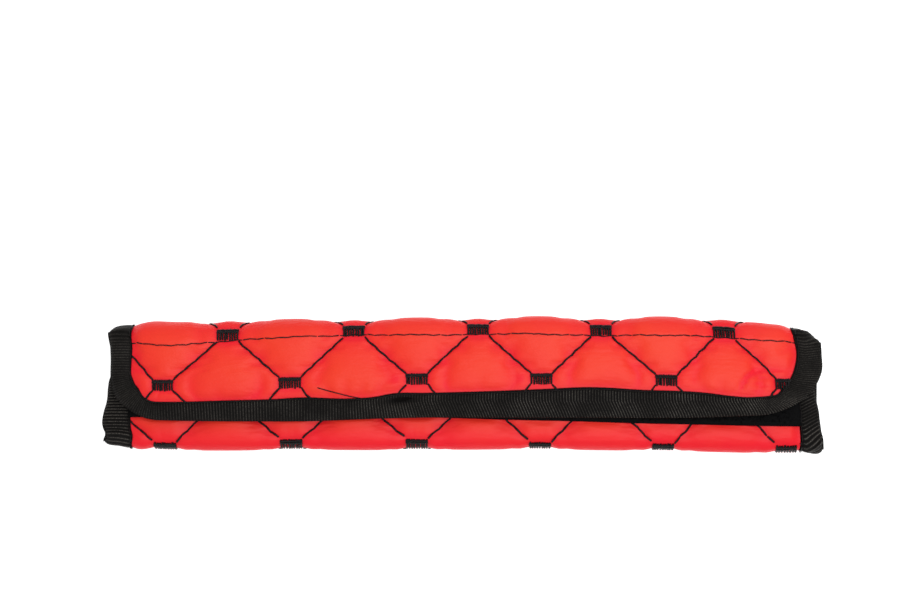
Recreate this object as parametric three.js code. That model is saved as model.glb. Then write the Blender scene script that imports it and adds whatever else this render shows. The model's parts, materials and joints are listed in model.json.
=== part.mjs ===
// A quilted shoulder pad for a car seat belt: one padded panel, bound all round and closed with
// hook-and-loop into a flat tube around the belt.
//
// Units are millimetres. X runs along the belt, Y across it and Z up. The pad lies on its back with the
// closing flap on top and the flap's free edge towards -Y. The origin is the middle of its footprint.
//
// Every layer is drawn on the open panel first, in three coordinates: u along the belt, s across it from
// the flap's free edge, and h out from the middle of the panel's thickness towards the leather side. The
// last step rolls the panel up: foldPath says how far it runs straight and where it turns.

import * as THREE from "three";

// The panel's length and the radius of its four corners.
const panelLength = 299;
const cornerRadius = 22;

// The closed tube, measured on the panel's middle line. The setbacks are how far the flap's free edge
// stays behind the front of the tube, and the tucked edge behind its back.
const tubeWidth = 49.3;
const channelHeight = 4.2;
const backRadius = 3.85;
const flapSetback = 8.8;
const tuckSetback = 6.7;
const rollShift = 1.6;

// Layers, at a seam where the quilting pulls them together.
const coverThickness = 0.7;
const foamAtSeam = 0.4;
const liningThickness = 0.4;
const layerGap = 0.2;

// Quilting: tacks stand in rows along the panel, every second row half a pitch along. The columns are half
// a pitch apart, and both are spread evenly over the panel.
const columnCount = 11;
const firstTackFromEnd = 24.9;
const lastTackFromEnd = 14.1;
const rowCount = 6;
const firstRowFromEdge = 16.4;
const lastRowFromEdge = 21.1;
const tackLength = 8.8;
const tackWidth = 4.4;
const tackThickness = 0.5;
const tackFit = 0.3;
const crownHeight = 2.2;
const pressedCrown = 1.2;
const crownEdgeFade = 7;
const crownRoundness = 2.6;
const crownShoulder = 0.8;

// Edge binding: a tape folded over the panel's edge.
const bindingWidth = 10;
const tapeThickness = 0.5;
const tapeFit = 0.15;
const edgeInset = 1;
const bindingInsideEdge = 0.6;
const tapeEdgeRound = 0.7;
const squeezeLength = 2.2;

// Hook strip on the lining side of the flap, loop strip on the leather side of the tucked edge.
const stripWidth = 25;
const stripClearance = 0.4;
const hookThickness = 0.9;
const loopThickness = 1;
const stripPlay = 0.3;

// Fineness of the faceted surfaces. A step may turn a little more than the largest turn before it is
// halved, lines and points keep clear of a layer's edge, and on a recess's edge the point that has no
// seam to follow stands off the middle.
const longestStep = 6;
const largestTurn = THREE.MathUtils.degToRad(35);
const turnAllowance = 1.3;
const closestLines = 0.5;
const closestPoints = 0.8;
const spareShare = 0.4;
const rounding = 1e-6;
const cornerSteps = 6;

const quarterTurn = Math.PI / 2;
const halfLength = panelLength / 2;

// Half the panel's thickness at a seam, and where the binding squeezes it flat.
const padHalf = (coverThickness + foamAtSeam + liningThickness) / 2 + layerGap;
const squeezedHalf = (coverThickness + liningThickness + layerGap) / 2;
const bindingInnerHalf = squeezedHalf + tapeFit;
const bindingHalf = bindingInnerHalf + tapeThickness;

// Heights of the fastening, from the middle line of the panel that carries it. The loop strip lies over
// the last row of tacks and presses the cushions down to their height.
const hookTop = padHalf + layerGap;
const hookBottom = hookTop + hookThickness;
const crownUnderStrip = layerGap + tackThickness;
const loopBottom = padHalf + crownUnderStrip + layerGap;
const loopTop = loopBottom + loopThickness;

// The tube's cross-section on the middle line.
const channelGap = channelHeight + 2 * bindingHalf;
const flapRise = loopTop + stripPlay + hookBottom;
const frontRadius = channelGap / 2;
const backTurnRadius = Math.min(backRadius, (channelGap + flapRise) / 2);
const backWall = channelGap + flapRise - 2 * backTurnRadius;
const flapFlat = tubeWidth - backTurnRadius - flapSetback;
const bottomFlat = tubeWidth - backTurnRadius - frontRadius;
const tuckFlat = tubeWidth - frontRadius - tuckSetback;
const bottomMiddle = padHalf + pressedCrown;
const foldPath = [
  { length: flapFlat, turn: 0 },
  { length: backTurnRadius * quarterTurn, turn: quarterTurn },
  { length: backWall, turn: 0 },
  { length: backTurnRadius * quarterTurn, turn: quarterTurn },
  { length: bottomFlat, turn: 0 },
  { length: frontRadius * 2 * quarterTurn, turn: 2 * quarterTurn },
  { length: tuckFlat, turn: 0 },
];
const panelWidth = foldPath.reduce((sum, piece) => sum + piece.length, 0);

/** The middle line at distance s from the flap's edge: its place, its heading and the way out. */
function middleAt(s) {
  let y = flapSetback - tubeWidth / 2;
  let z = bottomMiddle + channelGap + flapRise;
  let heading = 0;
  let left = s;
  for (const [index, piece] of foldPath.entries()) {
    const ends = index === foldPath.length - 1;
    const run = ends ? left : Math.min(left, piece.length);
    if (piece.turn > 0) {
      const radius = piece.length / piece.turn;
      const turned = heading - run / radius;
      y += radius * (Math.sin(heading) - Math.sin(turned));
      z += radius * (Math.cos(turned) - Math.cos(heading));
      heading = turned;
    } else {
      y += run * Math.cos(heading);
      z += run * Math.sin(heading);
    }
    left -= run;
    if (left <= 0) break;
  }
  return { y, z, heading, outY: -Math.sin(heading), outZ: Math.cos(heading) };
}

/** A point of the open panel, rolled up into the tube. The roll runs a little askew along the belt. */
function rolled(u, s, h) {
  const middle = middleAt(s);
  const askew = rollShift * (0.5 - s / panelWidth);
  return [u + askew, middle.y + h * middle.outY, middle.z + h * middle.outZ];
}

/** Half the panel's length at s, inside a line that runs `inset` in from its rounded outline. */
function halfLengthAt(s, inset) {
  const radius = Math.max(cornerRadius - inset, 0);
  const fromEdge = Math.min(s, panelWidth - s) - inset;
  const intoCorner = THREE.MathUtils.clamp(radius - fromEdge, 0, radius);
  return halfLength - inset - radius + Math.sqrt(radius ** 2 - intoCorner ** 2);
}

/** How far a point of the panel lies inside its rounded outline. */
function insideOutline(u, s) {
  const toEnd = halfLength - Math.abs(u);
  const toEdge = Math.min(s, panelWidth - s);
  const cornerU = cornerRadius - toEnd;
  const cornerS = cornerRadius - toEdge;
  if (cornerU > 0 && cornerS > 0) return cornerRadius - Math.hypot(cornerU, cornerS);
  return Math.min(toEnd, toEdge);
}

// Lines that run in from the panel's outline: where the binding lets go, and where the padding is free.
const bindingLine = bindingWidth + tackFit;
const paddingLine = bindingLine + squeezeLength;

// The strips lie against the binding's inner edge, and the leather is pressed flat from just before the
// loop strip.
const stripInset = bindingWidth + stripClearance;
const loopStart = panelWidth - stripInset - stripWidth;
const pressedLine = loopStart - stripClearance;

// A tack stands where a row and a column of like parity cross, in a recess a little larger than itself,
// and the seams run from recess corner to corner.
const columnPitch = (panelLength - firstTackFromEnd - lastTackFromEnd) / (columnCount - 1);
const rowPitch = (panelWidth - firstRowFromEdge - lastRowFromEdge) / (rowCount - 1);
const recessHalfLength = tackLength / 2 + tackFit;
const recessHalfWidth = tackWidth / 2 + tackFit;
const seamRun = columnPitch - 2 * recessHalfLength;
const seamRise = rowPitch - 2 * recessHalfWidth;
const seamSlope = seamRise / seamRun;
const cushionReach = recessHalfWidth + seamSlope * (columnPitch - recessHalfLength);
const isEven = (number) => number % 2 === 0;
const rowPlace = (row) => firstRowFromEdge + row * rowPitch;
const columnPlace = (column) => firstTackFromEnd - halfLength + column * columnPitch;

/** How far the seams have crossed from one row of tacks to the next at s, from 0 to 1. */
function seamProgress(s) {
  const row = Math.floor((s - firstRowFromEdge) / rowPitch);
  const progress = (s - rowPlace(row) - recessHalfWidth) / seamRise;
  return { row, progress: THREE.MathUtils.clamp(progress, 0, 1) };
}

/** Height of a cushion's crown over its seams at a point of the panel, from 0 to 1. */
function cushion(u, s) {
  const column = Math.round((u - columnPlace(0)) / columnPitch);
  const row = Math.round((s - firstRowFromEdge) / rowPitch);
  let fullest = 0;
  for (const c of [column - 1, column, column + 1]) {
    for (const r of [row - 1, row, row + 1]) {
      if (isEven(c + r)) continue;
      const fromColumn = Math.abs(u - columnPlace(c));
      const fromRow = Math.abs(s - rowPlace(r));
      const outward = Math.max(
        fromColumn / (columnPitch - recessHalfLength),
        fromRow / (rowPitch - recessHalfWidth),
        (fromRow + seamSlope * fromColumn) / cushionReach,
      );
      if (outward < 1) fullest = Math.max(fullest, (1 - outward ** crownRoundness) ** crownShoulder);
    }
  }
  return fullest;
}

/** Height of the leather over its seams: the floor and the loop strip press the cushions flat. */
function crown(u, s) {
  const freed = THREE.MathUtils.clamp((insideOutline(u, s) - paddingLine) / crownEdgeFade, 0, 1);
  const free = crownHeight * cushion(u, s) * (1 - (1 - freed) ** 2);
  const middle = middleAt(s);
  const overFloor = middle.outZ < 0 ? middle.z / -middle.outZ - padHalf : Infinity;
  const underStrip = s >= pressedLine ? crownUnderStrip : Infinity;
  return Math.min(free, overFloor, underStrip);
}

/** A level of the panel: `loose` where the padding is free, `tight` inside the binding. */
function level(loose, tight) {
  return (u, s) => {
    const release = (insideOutline(u, s) - bindingLine) / squeezeLength;
    return THREE.MathUtils.lerp(tight, loose, THREE.MathUtils.clamp(release, 0, 1));
  };
}

const onCrown = (base) => (u, s) => base(u, s) + crown(u, s);

/** Splits s from `from` to `to` so that no step is longer or turns more than the facets allow. */
function subdivided(from, to) {
  const turned = (a, b) => Math.abs(middleAt(b).heading - middleAt(a).heading);
  const count = Math.max(
    1,
    Math.ceil((to - from) / longestStep),
    Math.ceil(turned(from, to) / largestTurn),
  );
  const lines = [];
  for (let i = 0; i < count; i++) {
    const a = from + ((to - from) * i) / count;
    const b = from + ((to - from) * (i + 1)) / count;
    lines.push(a);
    if (turned(a, b) > turnAllowance * largestTurn) lines.push((a + b) / 2);
  }
  return lines;
}

/** The lines across which every layer bends: the edges of the rows, of the binding and of the fades. */
function bendingLines() {
  const marks = [edgeInset, bindingLine, paddingLine].flatMap((inset) => [inset, panelWidth - inset]);
  marks.push(pressedLine);
  for (let row = 0; row < rowCount; row++) {
    marks.push(rowPlace(row) - recessHalfWidth, rowPlace(row) + recessHalfWidth);
  }
  marks.sort((a, b) => a - b);
  const lines = [];
  for (let i = 1; i < marks.length; i++) lines.push(...subdivided(marks[i - 1], marks[i]));
  return [...lines, marks.at(-1)];
}

const allLines = bendingLines();

/** The bending lines of a layer that runs from s `from` to `to`, with its two edges. */
function linesBetween(from, to) {
  return [from, ...allLines.filter((s) => s > from + closestLines && s < to - closestLines), to];
}

/** Points of one line that only follow the outline, on each of the lines that run in from it. */
function outlineRow(s, insets) {
  const usable = insets.filter((inset) => Math.min(s, panelWidth - s) >= inset - rounding);
  const names = usable.map((inset) => `in ${inset}`);
  const far = usable.map((inset) => halfLengthAt(s, inset));
  const points = far.map((u, i) => ({ u: -u, tags: [`left ${names[i]}`] }));
  const mirrored = far.map((u, i) => ({ u, tags: [`right ${names[i]}`] }));
  return [...points, ...mirrored.reverse()];
}

/** The same line with the quilting's points added, each seam on a point of its own. */
function quiltedRow(s, insets) {
  const row = outlineRow(s, insets);
  if (Math.min(s, panelWidth - s) <= paddingLine + closestLines) return row;
  const inner = row.length / 2;
  const limit = row[inner].u - closestPoints;
  const quilted = [];
  const { row: rowIndex, progress } = seamProgress(s);
  for (let column = -1; column < columnCount + 1; column++) {
    const start = columnPlace(column);
    const right = { u: start + recessHalfLength, tags: [`end of ${column}`] };
    const next = { u: start + columnPitch - recessHalfLength, tags: [`start of ${column + 1}`] };
    const share = isEven(column + rowIndex) ? progress : 1 - progress;
    const between = { u: right.u + seamRun * share, tags: [] };
    const onSeam = share <= 0 ? right : share >= 1 ? next : between;
    onSeam.tags.push(`seam ${column}`);
    if (onSeam !== between) {
      between.u = right.u + seamRun * (share <= 0 ? spareShare : 1 - spareShare);
    }
    quilted.push(right, between, next);
  }
  const kept = quilted.filter((point) => Math.abs(point.u) < limit);
  return [...row.slice(0, inner), ...kept, ...row.slice(inner)];
}

/** Triangles between two neighbouring lines. Points that share a tag are joined by an edge. */
function stitchRows(near, far, add) {
  const place = (row) => new Map(row.flatMap((point, i) => point.tags.map((tag) => [tag, i])));
  const nearPlace = place(near);
  const farPlace = place(far);
  const shared = [...nearPlace.keys()].filter((tag) => farPlace.has(tag));
  const anchors = shared.map((tag) => [nearPlace.get(tag), farPlace.get(tag)]);
  anchors.push([0, 0], [near.length - 1, far.length - 1]);
  anchors.sort((a, b) => a[0] - b[0] || a[1] - b[1]);
  let [i, j] = [0, 0];
  for (const [iEnd, jEnd] of anchors) {
    while (i < iEnd || j < jEnd) {
      const nearNext = i < iEnd ? near[i + 1].u : Infinity;
      const farNext = j < jEnd ? far[j + 1].u : Infinity;
      if (nearNext <= farNext) {
        add(near[i].index, near[i + 1].index, far[j].index);
        i += 1;
      } else {
        add(near[i].index, far[j + 1].index, far[j].index);
        j += 1;
      }
    }
  }
}

/**
 * A closed layer of the panel between two levels. `lines` are its bending lines, and rowOver and rowUnder
 * give the points of a line on its upper and lower face. Both faces share their outermost points.
 */
function layer({ lines, over, under, rowOver, rowUnder }) {
  const positions = [];
  const triangles = [];
  const face = (makeRow, height, flip) => {
    const rows = lines.map((s) => makeRow(s).map((point) => {
      positions.push(...rolled(point.u, s, height(point.u, s)));
      return { ...point, index: positions.length / 3 - 1 };
    }));
    const add = (a, b, c) => triangles.push(...(flip ? [a, c, b] : [a, b, c]));
    for (let i = 1; i < rows.length; i++) stitchRows(rows[i - 1], rows[i], add);
    return rows;
  };
  const top = face(rowOver, over, false);
  const bottom = face(rowUnder, under, true);
  const rim = (rows) => [
    ...rows[0].map((point) => point.index),
    ...rows.slice(1, -1).map((row) => row.at(-1).index),
    ...rows.at(-1).map((point) => point.index).reverse(),
    ...rows.slice(1, -1).map((row) => row[0].index).reverse(),
  ];
  const [topRim, bottomRim] = [rim(top), rim(bottom)];
  for (let i = 0; i < topRim.length; i++) {
    const next = (i + 1) % topRim.length;
    triangles.push(topRim[i], bottomRim[i], bottomRim[next], topRim[i], bottomRim[next], topRim[next]);
  }
  return closedGeometry(positions, triangles);
}

function closedGeometry(positions, triangles) {
  const geometry = new THREE.BufferGeometry();
  geometry.setAttribute("position", new THREE.Float32BufferAttribute(positions, 3));
  geometry.setIndex(triangles);
  geometry.computeVertexNormals();
  return geometry;
}

function quiltedCover() {
  const insets = [edgeInset, bindingLine, paddingLine];
  const quilted = (s) => quiltedRow(s, insets);
  return layer({
    lines: linesBetween(edgeInset, panelWidth - edgeInset),
    over: onCrown(level(padHalf, squeezedHalf)),
    under: onCrown(level(padHalf - coverThickness, squeezedHalf - coverThickness)),
    rowOver: quilted,
    rowUnder: quilted,
  });
}

function foamPad() {
  const inset = paddingLine;
  const foamTop = padHalf - coverThickness - layerGap;
  return layer({
    lines: linesBetween(inset, panelWidth - inset),
    over: onCrown(() => foamTop),
    under: () => foamTop - foamAtSeam,
    rowOver: (s) => quiltedRow(s, [inset]),
    rowUnder: (s) => outlineRow(s, [inset]),
  });
}

function lining() {
  const insets = [edgeInset, bindingLine, paddingLine];
  const plain = (s) => outlineRow(s, insets);
  return layer({
    lines: linesBetween(edgeInset, panelWidth - edgeInset),
    over: level(liningThickness - padHalf, liningThickness - squeezedHalf),
    under: level(-padHalf, -squeezedHalf),
    rowOver: plain,
    rowUnder: plain,
  });
}

/** A fastening strip sewn on from s `from` to `to`, its ends cut to follow the binding's corners. */
function strip(from, to, lower, upper) {
  const plain = (s) => outlineRow(s, [stripInset]);
  return layer({
    lines: linesBetween(from, to),
    over: () => upper,
    under: () => lower,
    rowOver: plain,
    rowUnder: plain,
  });
}

function hookStrip() {
  return strip(stripInset, stripInset + stripWidth, -hookBottom, -hookTop);
}

function loopStrip() {
  return strip(loopStart, loopStart + stripWidth, loopBottom, loopTop);
}

/** The folded tape: its U-shaped section follows the panel's rounded outline all the way round. */
function edgeBinding() {
  const section = [
    [bindingWidth, bindingHalf],
    [bindingWidth, bindingInnerHalf],
    [bindingInsideEdge, bindingInnerHalf],
    [bindingInsideEdge, -bindingInnerHalf],
    [bindingWidth, -bindingInnerHalf],
    [bindingWidth, -bindingHalf],
    [tapeEdgeRound, -bindingHalf],
    [0, tapeEdgeRound - bindingHalf],
    [0, bindingHalf - tapeEdgeRound],
    [tapeEdgeRound, bindingHalf],
  ];
  const [cornerU, cornerS] = [halfLength - cornerRadius, panelWidth / 2 - cornerRadius];
  const path = [];
  const corner = (signU, signS, from) => {
    for (let i = 0; i <= cornerSteps; i++) {
      const angle = from + (quarterTurn * i) / cornerSteps;
      const [outU, outS] = [Math.cos(angle), Math.sin(angle)];
      const u = signU * cornerU + cornerRadius * outU;
      const s = panelWidth / 2 + signS * cornerS + cornerRadius * outS;
      path.push({ u, s, outU, outS });
    }
  };
  const end = (outU) => {
    const along = linesBetween(cornerRadius, panelWidth - cornerRadius).slice(1, -1);
    const ordered = outU > 0 ? along : along.reverse();
    for (const s of ordered) path.push({ u: outU * halfLength, s, outU, outS: 0 });
  };
  corner(1, -1, -quarterTurn);
  end(1);
  corner(1, 1, 0);
  corner(-1, 1, quarterTurn);
  end(-1);
  corner(-1, -1, 2 * quarterTurn);
  const positions = path.flatMap(({ u, s, outU, outS }) =>
    section.flatMap(([inset, h]) => rolled(u - outU * inset, s - outS * inset, h)),
  );
  const triangles = [];
  for (let i = 0; i < path.length; i++) {
    const next = (i + 1) % path.length;
    for (let j = 0; j < section.length; j++) {
      const beside = (j + 1) % section.length;
      const [a, b] = [i * section.length + j, i * section.length + beside];
      const [c, d] = [next * section.length + beside, next * section.length + j];
      triangles.push(a, c, b, a, d, c);
    }
  }
  return closedGeometry(positions, triangles);
}

/** One bar tack: a raised bar of satin stitches, cut short where the binding covers its end. */
function barTack(row, column) {
  const middle = rowPlace(row);
  const lines = linesBetween(middle - tackWidth / 2, middle + tackWidth / 2);
  const clear = Math.min(...lines.map((s) => halfLengthAt(s, bindingLine)));
  const ends = [-1, 1].map((side) => {
    const u = columnPlace(column) + (side * tackLength) / 2;
    return { u: THREE.MathUtils.clamp(u, -clear, clear), tags: [`end ${side}`] };
  });
  const bottom = padHalf + layerGap;
  return layer({
    lines,
    over: () => bottom + tackThickness,
    under: () => bottom,
    rowOver: () => ends,
    rowUnder: () => ends,
  });
}

const finishes = {
  leather: new THREE.MeshStandardMaterial({ color: 0xf04438, roughness: 0.55, metalness: 0 }),
  foam: new THREE.MeshStandardMaterial({ color: 0xe8e4da, roughness: 0.95, metalness: 0 }),
  lining: new THREE.MeshStandardMaterial({ color: 0x1c1b1d, roughness: 0.9, metalness: 0 }),
  tape: new THREE.MeshStandardMaterial({ color: 0x221f1d, roughness: 0.8, metalness: 0 }),
  strip: new THREE.MeshStandardMaterial({ color: 0x151416, roughness: 0.95, metalness: 0 }),
  thread: new THREE.MeshStandardMaterial({ color: 0x120f10, roughness: 0.6, metalness: 0 }),
};

const pad = new THREE.Group();

function addPiece(name, geometry, finish) {
  const mesh = new THREE.Mesh(geometry, finishes[finish].clone());
  mesh.name = name;
  pad.add(mesh);
}

addPiece("quilted_cover", quiltedCover(), "leather");
addPiece("foam_pad", foamPad(), "foam");
addPiece("lining", lining(), "lining");
addPiece("edge_binding", edgeBinding(), "tape");
addPiece("hook_strip", hookStrip(), "strip");
addPiece("loop_strip", loopStrip(), "strip");

for (let row = 0; row < rowCount; row++) {
  for (let column = 0; column < columnCount; column++) {
    if (!isEven(row + column)) continue;
    addPiece(`bar_tack_${row + 1}_${column + 1}`, barTack(row, column), "thread");
  }
}

const footprint = new THREE.Box3().setFromObject(pad);
const middleOfFootprint = footprint.getCenter(new THREE.Vector3());
pad.position.set(-middleOfFootprint.x, -middleOfFootprint.y, -footprint.min.z);

export default pad;
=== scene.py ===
"""A quilted shoulder pad for a car seat belt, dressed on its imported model.

The pad is drawn on the open panel in millimetres: u runs along the belt, s across it from the flap's free
edge, and h out from the middle of the panel towards the leather. PadForm rolls that panel into the tube.
"""

import json
import math

import bmesh
import bpy
import numpy as np
from bpy.props import FloatProperty, FloatVectorProperty, IntProperty, PointerProperty
from mathutils import Matrix, Vector

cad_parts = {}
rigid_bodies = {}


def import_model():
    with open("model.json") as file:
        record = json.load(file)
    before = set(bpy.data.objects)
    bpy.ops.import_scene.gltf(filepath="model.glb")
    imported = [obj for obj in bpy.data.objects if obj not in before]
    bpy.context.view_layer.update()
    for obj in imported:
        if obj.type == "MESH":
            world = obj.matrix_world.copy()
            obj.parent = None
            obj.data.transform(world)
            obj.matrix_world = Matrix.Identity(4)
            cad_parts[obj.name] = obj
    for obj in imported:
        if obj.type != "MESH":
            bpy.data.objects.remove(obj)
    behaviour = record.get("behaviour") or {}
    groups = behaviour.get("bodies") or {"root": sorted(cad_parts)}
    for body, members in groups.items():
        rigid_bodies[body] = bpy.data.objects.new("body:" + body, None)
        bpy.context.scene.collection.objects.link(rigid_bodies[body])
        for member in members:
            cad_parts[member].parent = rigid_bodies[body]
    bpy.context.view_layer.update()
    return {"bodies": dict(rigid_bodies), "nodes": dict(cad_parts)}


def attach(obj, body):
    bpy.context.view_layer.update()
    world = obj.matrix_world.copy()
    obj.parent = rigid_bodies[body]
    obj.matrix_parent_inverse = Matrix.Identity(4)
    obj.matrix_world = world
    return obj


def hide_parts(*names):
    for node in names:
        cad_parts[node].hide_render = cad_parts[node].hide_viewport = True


bl_info = {
    "name": "Seat Belt Shoulder Pad",
    "version": (1, 0, 0),
    "blender": (4, 5, 0),
    "location": "3D View > Sidebar > Shoulder Pad",
    "description": "Makes a quilted, tape-bound shoulder pad rolled into a flat tube",
    "category": "Object",
}

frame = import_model()
BODY = next(iter(frame["bodies"]))
MM = 0.001


def length_property(name, description, millimetres):
    return FloatProperty(
        name=name, description=description, default=millimetres * MM, min=0, unit="LENGTH", precision=5
    )


def colour_property(name, description, colour):
    return FloatVectorProperty(
        name=name, description=description, default=colour, size=3, min=0, max=1, subtype="COLOR"
    )


class PadSizes(bpy.types.PropertyGroup):
    """Sizes of the pad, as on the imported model."""

    panel_length: length_property("Panel Length", "Length of the open panel along the belt", 299)
    corner_radius: length_property("Corner Radius", "Radius of the panel's corners", 22)
    lifted_corner_radius: length_property("Lifted Corner", "Radius of the flap's lifted corner", 29)
    tube_width: length_property("Tube Width", "Width of the closed tube on the panel's middle line", 49.3)
    channel_height: length_property("Channel Height", "Room for the belt between the bindings", 4.2)
    back_radius: length_property("Back Radius", "Radius of the folds at the back", 3.85)
    flap_setback: length_property("Flap Setback", "How far the flap ends behind the front", 8.8)
    tuck_setback: length_property("Tuck Setback", "How far the tucked edge ends before the back", 6.7)
    roll_shift: length_property("Roll Shift", "How far the roll runs askew along the belt", 1.6)
    columns: IntProperty(name="Columns", description="Columns of tacks along the panel", default=11, min=2)
    first_tack: length_property("First Tack", "First column of tacks from the panel's end", 24.9)
    last_tack: length_property("Last Tack", "Last column of tacks from the other end", 14.1)
    rows: IntProperty(name="Rows", description="Rows of tacks across the panel", default=6, min=2)
    first_row: length_property("First Row", "First row of tacks from the flap's edge", 16.4)
    last_row: length_property("Last Row", "Last row of tacks from the tucked edge", 21.1)
    tack_length: length_property("Tack Length", "Length of a bar tack", 8.8)
    tack_width: length_property("Tack Width", "Width of a bar tack", 4.4)
    crown: length_property("Crown", "Height of the cushions over their seams", 2.2)
    strip_width: length_property("Strip Width", "Width of the hook strip and of the loop strip", 25)
    rib_pitch: length_property("Rib Pitch", "Distance between the ribs of the binding tape", 1.2)
    stitch_length: length_property("Stitch Length", "Length of one quilting stitch", 3.1)


class PadColours(bpy.types.PropertyGroup):
    """Colours of the pad's materials."""

    # Lit and shaded copies of the leather: painted shade mixes it from the lit colour to the deeper one in
    # seams, creases, on slopes and at the folds.
    leather: colour_property("Leather", "Imitation leather as lit, on the crowns", (0.99, 0.051, 0.021))
    leather_in_shade: colour_property(
        "Leather in Painted Shade", "Imitation leather in painted shade: seams, creases, slopes and folds", (0.97, 0.011, 0.026)
    )
    tape: colour_property("Tape", "Binding tape", (0.0034, 0.0028, 0.0025))
    # The rib colour is a painted highlight on the tops of the tape's ribs.
    rib_glint: colour_property("Rib", "Painted highlight on the tops of the tape's ribs", (0.112, 0.102, 0.090))
    thread: colour_property("Thread", "Sewing thread", (0.004, 0.0025, 0.003))
    lining: colour_property("Lining", "Lining cloth", (0.020, 0.020, 0.022))
    foam: colour_property("Foam", "Foam under the leather", (0.80, 0.77, 0.70))
    strip: colour_property("Strips", "Hook strip and loop strip", (0.0016, 0.0016, 0.0018))
    floor: colour_property("Floor", "Floor under the pad", (0.90, 0.90, 0.90))


class PadView(bpy.types.PropertyGroup):
    """The camera and the lamps."""

    focal_widths: FloatProperty(
        name="Focal Length", description="Focal length in image widths", default=1.9446
    )
    elevation: FloatProperty(
        name="Elevation",
        description="Camera height over the floor",
        default=math.radians(80),
        subtype="ANGLE",
    )
    depth: length_property("Depth", "Distance from the camera to the pad along its axis", 750.7)
    lamp_power: FloatProperty(
        name="Lamp Power", description="Power of the large lamp", default=7.05, unit="POWER"
    )
    seed: IntProperty(name="Seed", description="Seed of everything uneven", default=7)


def through(x, knots):
    """A smooth curve through pairs of place and value, level beyond its ends."""
    xs, ys = np.array(knots, float).T
    slopes = np.gradient(ys, xs)
    i = np.clip(np.searchsorted(xs, x) - 1, 0, len(xs) - 2)
    width = xs[i + 1] - xs[i]
    t = np.clip((x - xs[i]) / width, 0, 1)
    near = (1 + 2 * t) * (1 - t) ** 2 * ys[i] + t * (1 - t) ** 2 * width * slopes[i]
    far = t**2 * (3 - 2 * t) * ys[i + 1] - t**2 * (1 - t) * width * slopes[i + 1]
    return near + far


def smooth(x):
    """From 0 to 1, level at both."""
    t = np.clip(x, 0, 1)
    return t * t * (3 - 2 * t)


def ramp(x, start, length):
    """From 0 at the start to 1 after a length."""
    return smooth((x - start) / length)


def hill(x, middle, reach):
    """1 in the middle, and close to 0 from twice the reach."""
    return np.exp(-(((x - middle) / reach) ** 2))


def unit(directions):
    return directions / np.linalg.norm(directions, axis=-1, keepdims=True)


# How the real pad lies, read off its picture: pairs of place and shift in millimetres. The flap, its rows
# of tacks and the back fold bow a little, the ends are pulled in or pushed out, the tape's width varies.
FLAP_EDGE_BOW = (
    (-150, 0.6), (-122, -0.3), (-90, -0.6), (-60, -0.4), (-40, 0.4), (48, 0.9), (98, 0.9), (124, 1.6),
    (150, 1.6),
)
ROW_A_BOW = (
    (-150, -2.2), (-125, -2.1), (-72, -1.0), (-20, 0.6), (32, 0.7), (84, 0.0), (134, -1.8),
    (150, -2.0),
)
ROW_B_BOW = (
    (-150, -3.2), (-98, -3.0), (-46, -1.2), (6, -0.6), (57, -1.0), (108, -1.8), (122, -3.0),
    (138, -3.3), (150, -6.5),
)
TOP_BOW = (
    (-150, -3.2), (-146, -2.6), (-142, -2.0), (-138.5, -0.9), (-134, -0.9), (-122, -1.6), (-110, -0.9),
    (-72, -0.35), (-20, 0.15), (32, 0.8), (60, 0.5), (84, 0.7), (106, 0.2), (115, 0.0), (122, -0.5),
    (128, -1.9), (132, -2.2), (136, -2.0), (139.8, -3.0), (143.8, -4.7), (147.5, -8.1), (150, -11),
)
FRONT_BOW = (
    (-150, 1.2), (-146, 1.3), (-143, 1.1), (-140.5, 0.2), (-137.5, -1.2), (-132, -0.7), (-124, -1.0),
    (-100, -1.1), (-60, -0.9), (-20, -1.0), (20, -0.6), (60, -1.0), (110, -1.8), (135, -2.4),
    (150, -2.2),
)
BOW_STATIONS = (0, 16.4, 37.9, 44, 60, 92, 101, 112)
ROW_A_PULL = (
    (-150, 0), (-125, -1.2), (-72, -0.2), (-20, 0.6), (32, 0.4), (84, 0.3), (120, -0.6), (135, -2.5),
    (150, -0.4),
)
ROW_B_PULL = ((-150, 0), (-98, -0.3), (-46, 0.4), (6, 0.3), (57, -0.35), (108, -1.0), (150, 0))
ROW_E_PULL = (
    (-150, 0), (-125, 0.5), (-72, 1.2), (-20, 1.5), (32, 0.85), (84, 0.2), (135, -0.8), (150, -0.4),
)
LEFT_END = (
    (0, 1.2), (15, 1.6), (22, 2.0), (30, 1.8), (34, 1.5), (37, 0.8), (39.5, 0.3), (42, 0.6),
    (47, -0.2), (52, -1.0), (58, -0.3), (66, 0), (92, -0.2), (100, -0.8), (104, -0.5), (106.5, 0.5),
    (109, -0.5), (111.5, -0.9), (115, -0.4), (119, 0.7), (130, 1.0),
)
RIGHT_END = (
    (0, 0), (10, 0.2), (20, 0.2), (30, -0.4), (38, -0.5), (42, -0.5), (46, -0.4), (56, 0), (92, 0.5),
    (101, 1.9), (105, 1.4), (109, 0.4), (116, -0.4), (121, -1.4), (130, -1.8),
)
FLAP_TAPE = (
    (-150, 9.4), (-126, 8.6), (-98, 9.2), (-80, 9.5), (-68, 10), (-48, 8.9), (-38, 9.1), (-28, 10.5),
    (-15, 10.4), (11, 10.9), (36, 12.0), (55, 12.9), (73, 12.1), (101, 11.2), (111, 9.9), (118, 9.3),
    (127, 9.5), (136, 8.2), (150, 8),
)
LEFT_TAPE = (
    (0, 9.6), (10, 10.0), (16, 10.2), (22, 9.5), (34, 9.9), (44, 10.4), (80, 10), (96, 11.4),
    (112, 11.4), (124, 10.5), (145, 10),
)
RIGHT_TAPE = (
    (0, 9.0), (15, 9.3), (25, 10.4), (36, 10.6), (43, 11.9), (50, 11.4), (60, 10), (80, 10), (100, 10),
    (110, 8.6), (145, 8.8),
)
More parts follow.
